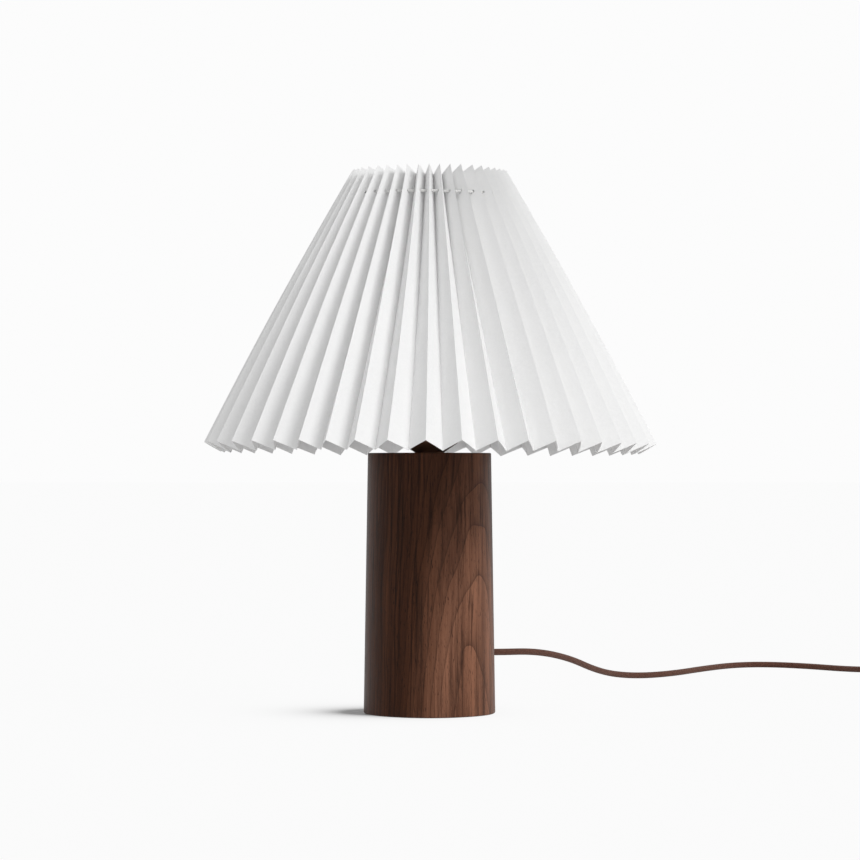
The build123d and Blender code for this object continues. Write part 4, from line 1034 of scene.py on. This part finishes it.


def make_walnut_finish():
    """Growth rings round a leaning heart behind the column, with dark bands, fibres and open pores, and painted shade
    on the side nearest the heart.
    """
    material, tree, shader, places = new_finish("oiled_walnut_finish", Specular_IOR_Level=0.12)
    place = places.outputs["Object"]
    # A slow wander of the grain along the column.
    slow = node(tree, "ShaderNodeVectorMath", operation="MULTIPLY")
    give(tree, place, slow.inputs[0])
    give(tree, wander_stretch, slow.inputs[1])
    wander = node(tree, "ShaderNodeTexNoise")
    give(tree, slow.outputs[0], wander.inputs["Vector"])
    give(tree, 1.0, wander.inputs["Scale"])
    give(tree, 3.0, wander.inputs["Detail"])
    shift = node(tree, "ShaderNodeVectorMath", operation="MULTIPLY_ADD")
    for socket, value in zip(shift.inputs, (wander.outputs["Color"], wander_reach, place)):
        give(tree, value, socket)
    split = node(tree, "ShaderNodeSeparateXYZ")
    wire(tree, shift.outputs[0], split.inputs[0])
    squares = []
    for axis in (0, 1):
        away = calc(tree, "SUBTRACT", split.outputs[axis], heart[axis])
        away = calc(tree, "MULTIPLY_ADD", split.outputs[2], -heart_moves[axis], away)
        squares.append(calc(tree, "MULTIPLY", away, away))
    ring = calc(tree, "SQRT", calc(tree, "ADD", *squares))
    saw = calc(tree, "FRACT", calc(tree, "MULTIPLY", ring, rings_per_metre))
    edge = calc(tree, "MULTIPLY", calc(tree, "POWER", saw, 10.0), late_wood_edge)
    late_wood = calc(tree, "ADD", edge, calc(tree, "MULTIPLY", saw, late_wood_slope))
    wide = calc(tree, "SINE", calc(tree, "MULTIPLY", ring, wide_bands))
    streaks = stretched_noise(tree, shift.outputs[0], (110, 110, 3.4), 1.0, 7, 0.66)
    lines = stretched_noise(tree, shift.outputs[0], (330, 330, 7), 1.0, 4, 0.6)
    fibres = stretched_noise(tree, place, (1500, 1500, 60), 1.0, 4, 0.65)
    pores = stretched_noise(tree, place, (1700, 1700, 170), 1.0, 2, 0.5)
    open_pores = ranged(tree, pores, 0.60, 0.70, 0.0, 0.7)
    base = blended(tree, ranged(tree, streaks, 0.34, 0.64), (0.080, 0.0275, 0.0135), (0.290, 0.124, 0.070))
    for share, colour in (
        (ranged(tree, wide, -1.0, 1.0, 0.0, 0.24), (0.340, 0.160, 0.098)),
        (late_wood, (0.032, 0.0120, 0.0068)),
        (ranged(tree, lines, 0.50, 0.64, 0.0, 0.80), (0.036, 0.0130, 0.0070)),
        (ranged(tree, fibres, 0.42, 0.74, 0.0, 0.34), (0.31, 0.150, 0.092)),
        (open_pores, (0.016, 0.0075, 0.005)),
    ):
        base = blended(tree, share, base, colour)
    # Painted shade: the wood is darkened near its heart, which lies behind the column on the left, so the side away
    # from the key light reads dark.
    painted_heart_shade = ranged(tree, ring, *painted_shade_reach, 1.0, 0.0)
    base = blended(tree, painted_heart_shade, base, (0.30, 0.235, 0.175), "MULTIPLY")
    wire(tree, base, shader.inputs["Base Color"])
    wire(tree, ranged(tree, fibres, 0.3, 0.7, 0.38, 0.52), shader.inputs["Roughness"])
    depth = calc(tree, "SUBTRACT", calc(tree, "MULTIPLY", fibres, 0.4), open_pores)
    raised(tree, shader, depth, 0.08)
    return material


finishes["walnut"] = make_walnut_finish()


def paint_pieces():
    slots = {row["node"]: row["material_slot"] for row in frame["record"]["subparts"]}
    for name, piece in frame["nodes"].items():
        piece.data.materials.clear()
        piece.data.materials.append(finishes[slots[name]])
    for piece in scene.objects:
        if piece.type == "MESH" and "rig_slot" in piece:
            piece.data.materials.clear()
            piece.data.materials.append(finishes[piece["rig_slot"]])


paint_pieces()

# ---------------------------------------------------------------- floor, background and light
background_level = 0.973
ambient_level = 0.52
room_level = 0.22  # what glossy pieces see of the room behind the camera
backdrop_from, backdrop_full = -0.25, 0.35  # how far to +Y a reflection looks when it meets the backdrop
floor_half = 60
floor_tone = 0.86
# How much of the floor's own shading shows to the camera: most beside the foot, where its shadow lies, as a painted
# shadow mask round shadow_centre.
shadow_share, open_share = 0.90, 0.02
shadow_centre = (-0.045, 0.020, 0.0)
shadow_core, shadow_fade = 0.030, 0.022
# Painted shadow: the floor's colour as the camera sees it, darker than its real tone, so the shadow beside the foot
# reads deeper.
painted_shadow_tone = 0.55


def grey(level):
    return (level, level, level)


def seen_directly(tree):
    """1 for what the camera sees straight on, in a reflection or through glass."""
    path = node(tree, "ShaderNodeLightPath")
    total = calc(tree, "ADD", path.outputs["Is Camera Ray"], path.outputs["Is Glossy Ray"])
    total = calc(tree, "ADD", total, path.outputs["Is Transmission Ray"])
    return calc(tree, "MINIMUM", total, 1.0)


def make_world():
    world = bpy.data.worlds.new("studio")
    scene.world = world
    world.use_nodes = True
    tree = world.node_tree
    background = tree.nodes["Background"]
    path = node(tree, "ShaderNodeLightPath")
    ways = node(tree, "ShaderNodeTexCoord")
    split = node(tree, "ShaderNodeSeparateXYZ")
    wire(tree, ways.outputs["Generated"], split.inputs[0])
    # Glossy pieces see the white backdrop behind the lamp, and a dim room in front of it.
    reflected = ranged(
        tree, split.outputs[1], backdrop_from, backdrop_full, room_level, background_level, smooth=True
    )
    plain_light = ranged(tree, path.outputs["Is Glossy Ray"], 0, 1, ambient_level, reflected)
    seen = calc(tree, "MAXIMUM", path.outputs["Is Camera Ray"], path.outputs["Is Transmission Ray"])
    level = ranged(tree, seen, 0, 1, plain_light, background_level)
    wire(tree, level, background.inputs["Strength"])
    give(tree, grey(1), background.inputs["Color"])


def make_floor():
    """A pale floor that the camera sees as the backdrop, but for the shadow beside the foot."""
    bm = bmesh.new()
    bmesh.ops.create_grid(bm, x_segments=1, y_segments=1, size=floor_half)
    mesh = bpy.data.meshes.new("floor")
    bm.to_mesh(mesh)
    bm.free()
    floor = bpy.data.objects.new("floor", mesh)
    scene.collection.objects.link(floor)
    material = bpy.data.materials.new("floor_finish")
    material.use_nodes = True
    tree = material.node_tree
    shader = tree.nodes["Principled BSDF"]
    path = node(tree, "ShaderNodeLightPath")
    # Painted shadow: camera rays see the darker floor colour.
    colour = blended(tree, path.outputs["Is Camera Ray"], grey(floor_tone), grey(painted_shadow_tone))
    wire(tree, colour, shader.inputs["Base Color"])
    shader.inputs["Roughness"].default_value = 1.0
    shader.inputs["Specular IOR Level"].default_value = 0.0
    glow = node(tree, "ShaderNodeEmission")
    give(tree, grey(background_level), glow.inputs["Color"])
    mix = node(tree, "ShaderNodeMixShader")
    places = node(tree, "ShaderNodeTexCoord")
    away = node(tree, "ShaderNodeVectorMath", operation="DISTANCE")
    wire(tree, places.outputs["Object"], away.inputs[0])
    away.inputs[1].default_value = shadow_centre
    fades = calc(tree, "DIVIDE", calc(tree, "SUBTRACT", shadow_core, away.outputs["Value"]), shadow_fade)
    fades = calc(tree, "EXPONENT", calc(tree, "MINIMUM", fades, 0.0))
    own = ranged(tree, fades, 0.0, 1.0, open_share, shadow_share)
    wire(tree, calc(tree, "MULTIPLY", seen_directly(tree), calc(tree, "SUBTRACT", 1.0, own)), mix.inputs[0])
    wire(tree, shader.outputs[0], mix.inputs[1])
    wire(tree, glow.outputs[0], mix.inputs[2])
    wire(tree, mix.outputs[0], tree.nodes["Material Output"].inputs["Surface"])
    mesh.materials.append(material)


def add_sun(name, azimuth, elevation, strength, spread):
    """A distant soft light. Azimuth 0 stands behind the camera and 90 to its right."""
    lamp = bpy.data.lights.new(name, "SUN")
    lamp.energy = strength
    lamp.angle = radians(spread)
    holder = bpy.data.objects.new(name, lamp)
    a, e = radians(azimuth), radians(elevation)
    towards = Vector((sin(a) * cos(e), -cos(a) * cos(e), sin(e)))
    holder.rotation_euler = towards.to_track_quat("Z", "Y").to_euler()
    scene.collection.objects.link(holder)


make_world()
make_floor()
add_sun("key_light", 47, 34, 1.26, 26)
add_sun("top_light", 20, 70, 0.30, 60)

scene.view_settings.view_transform = "Standard"
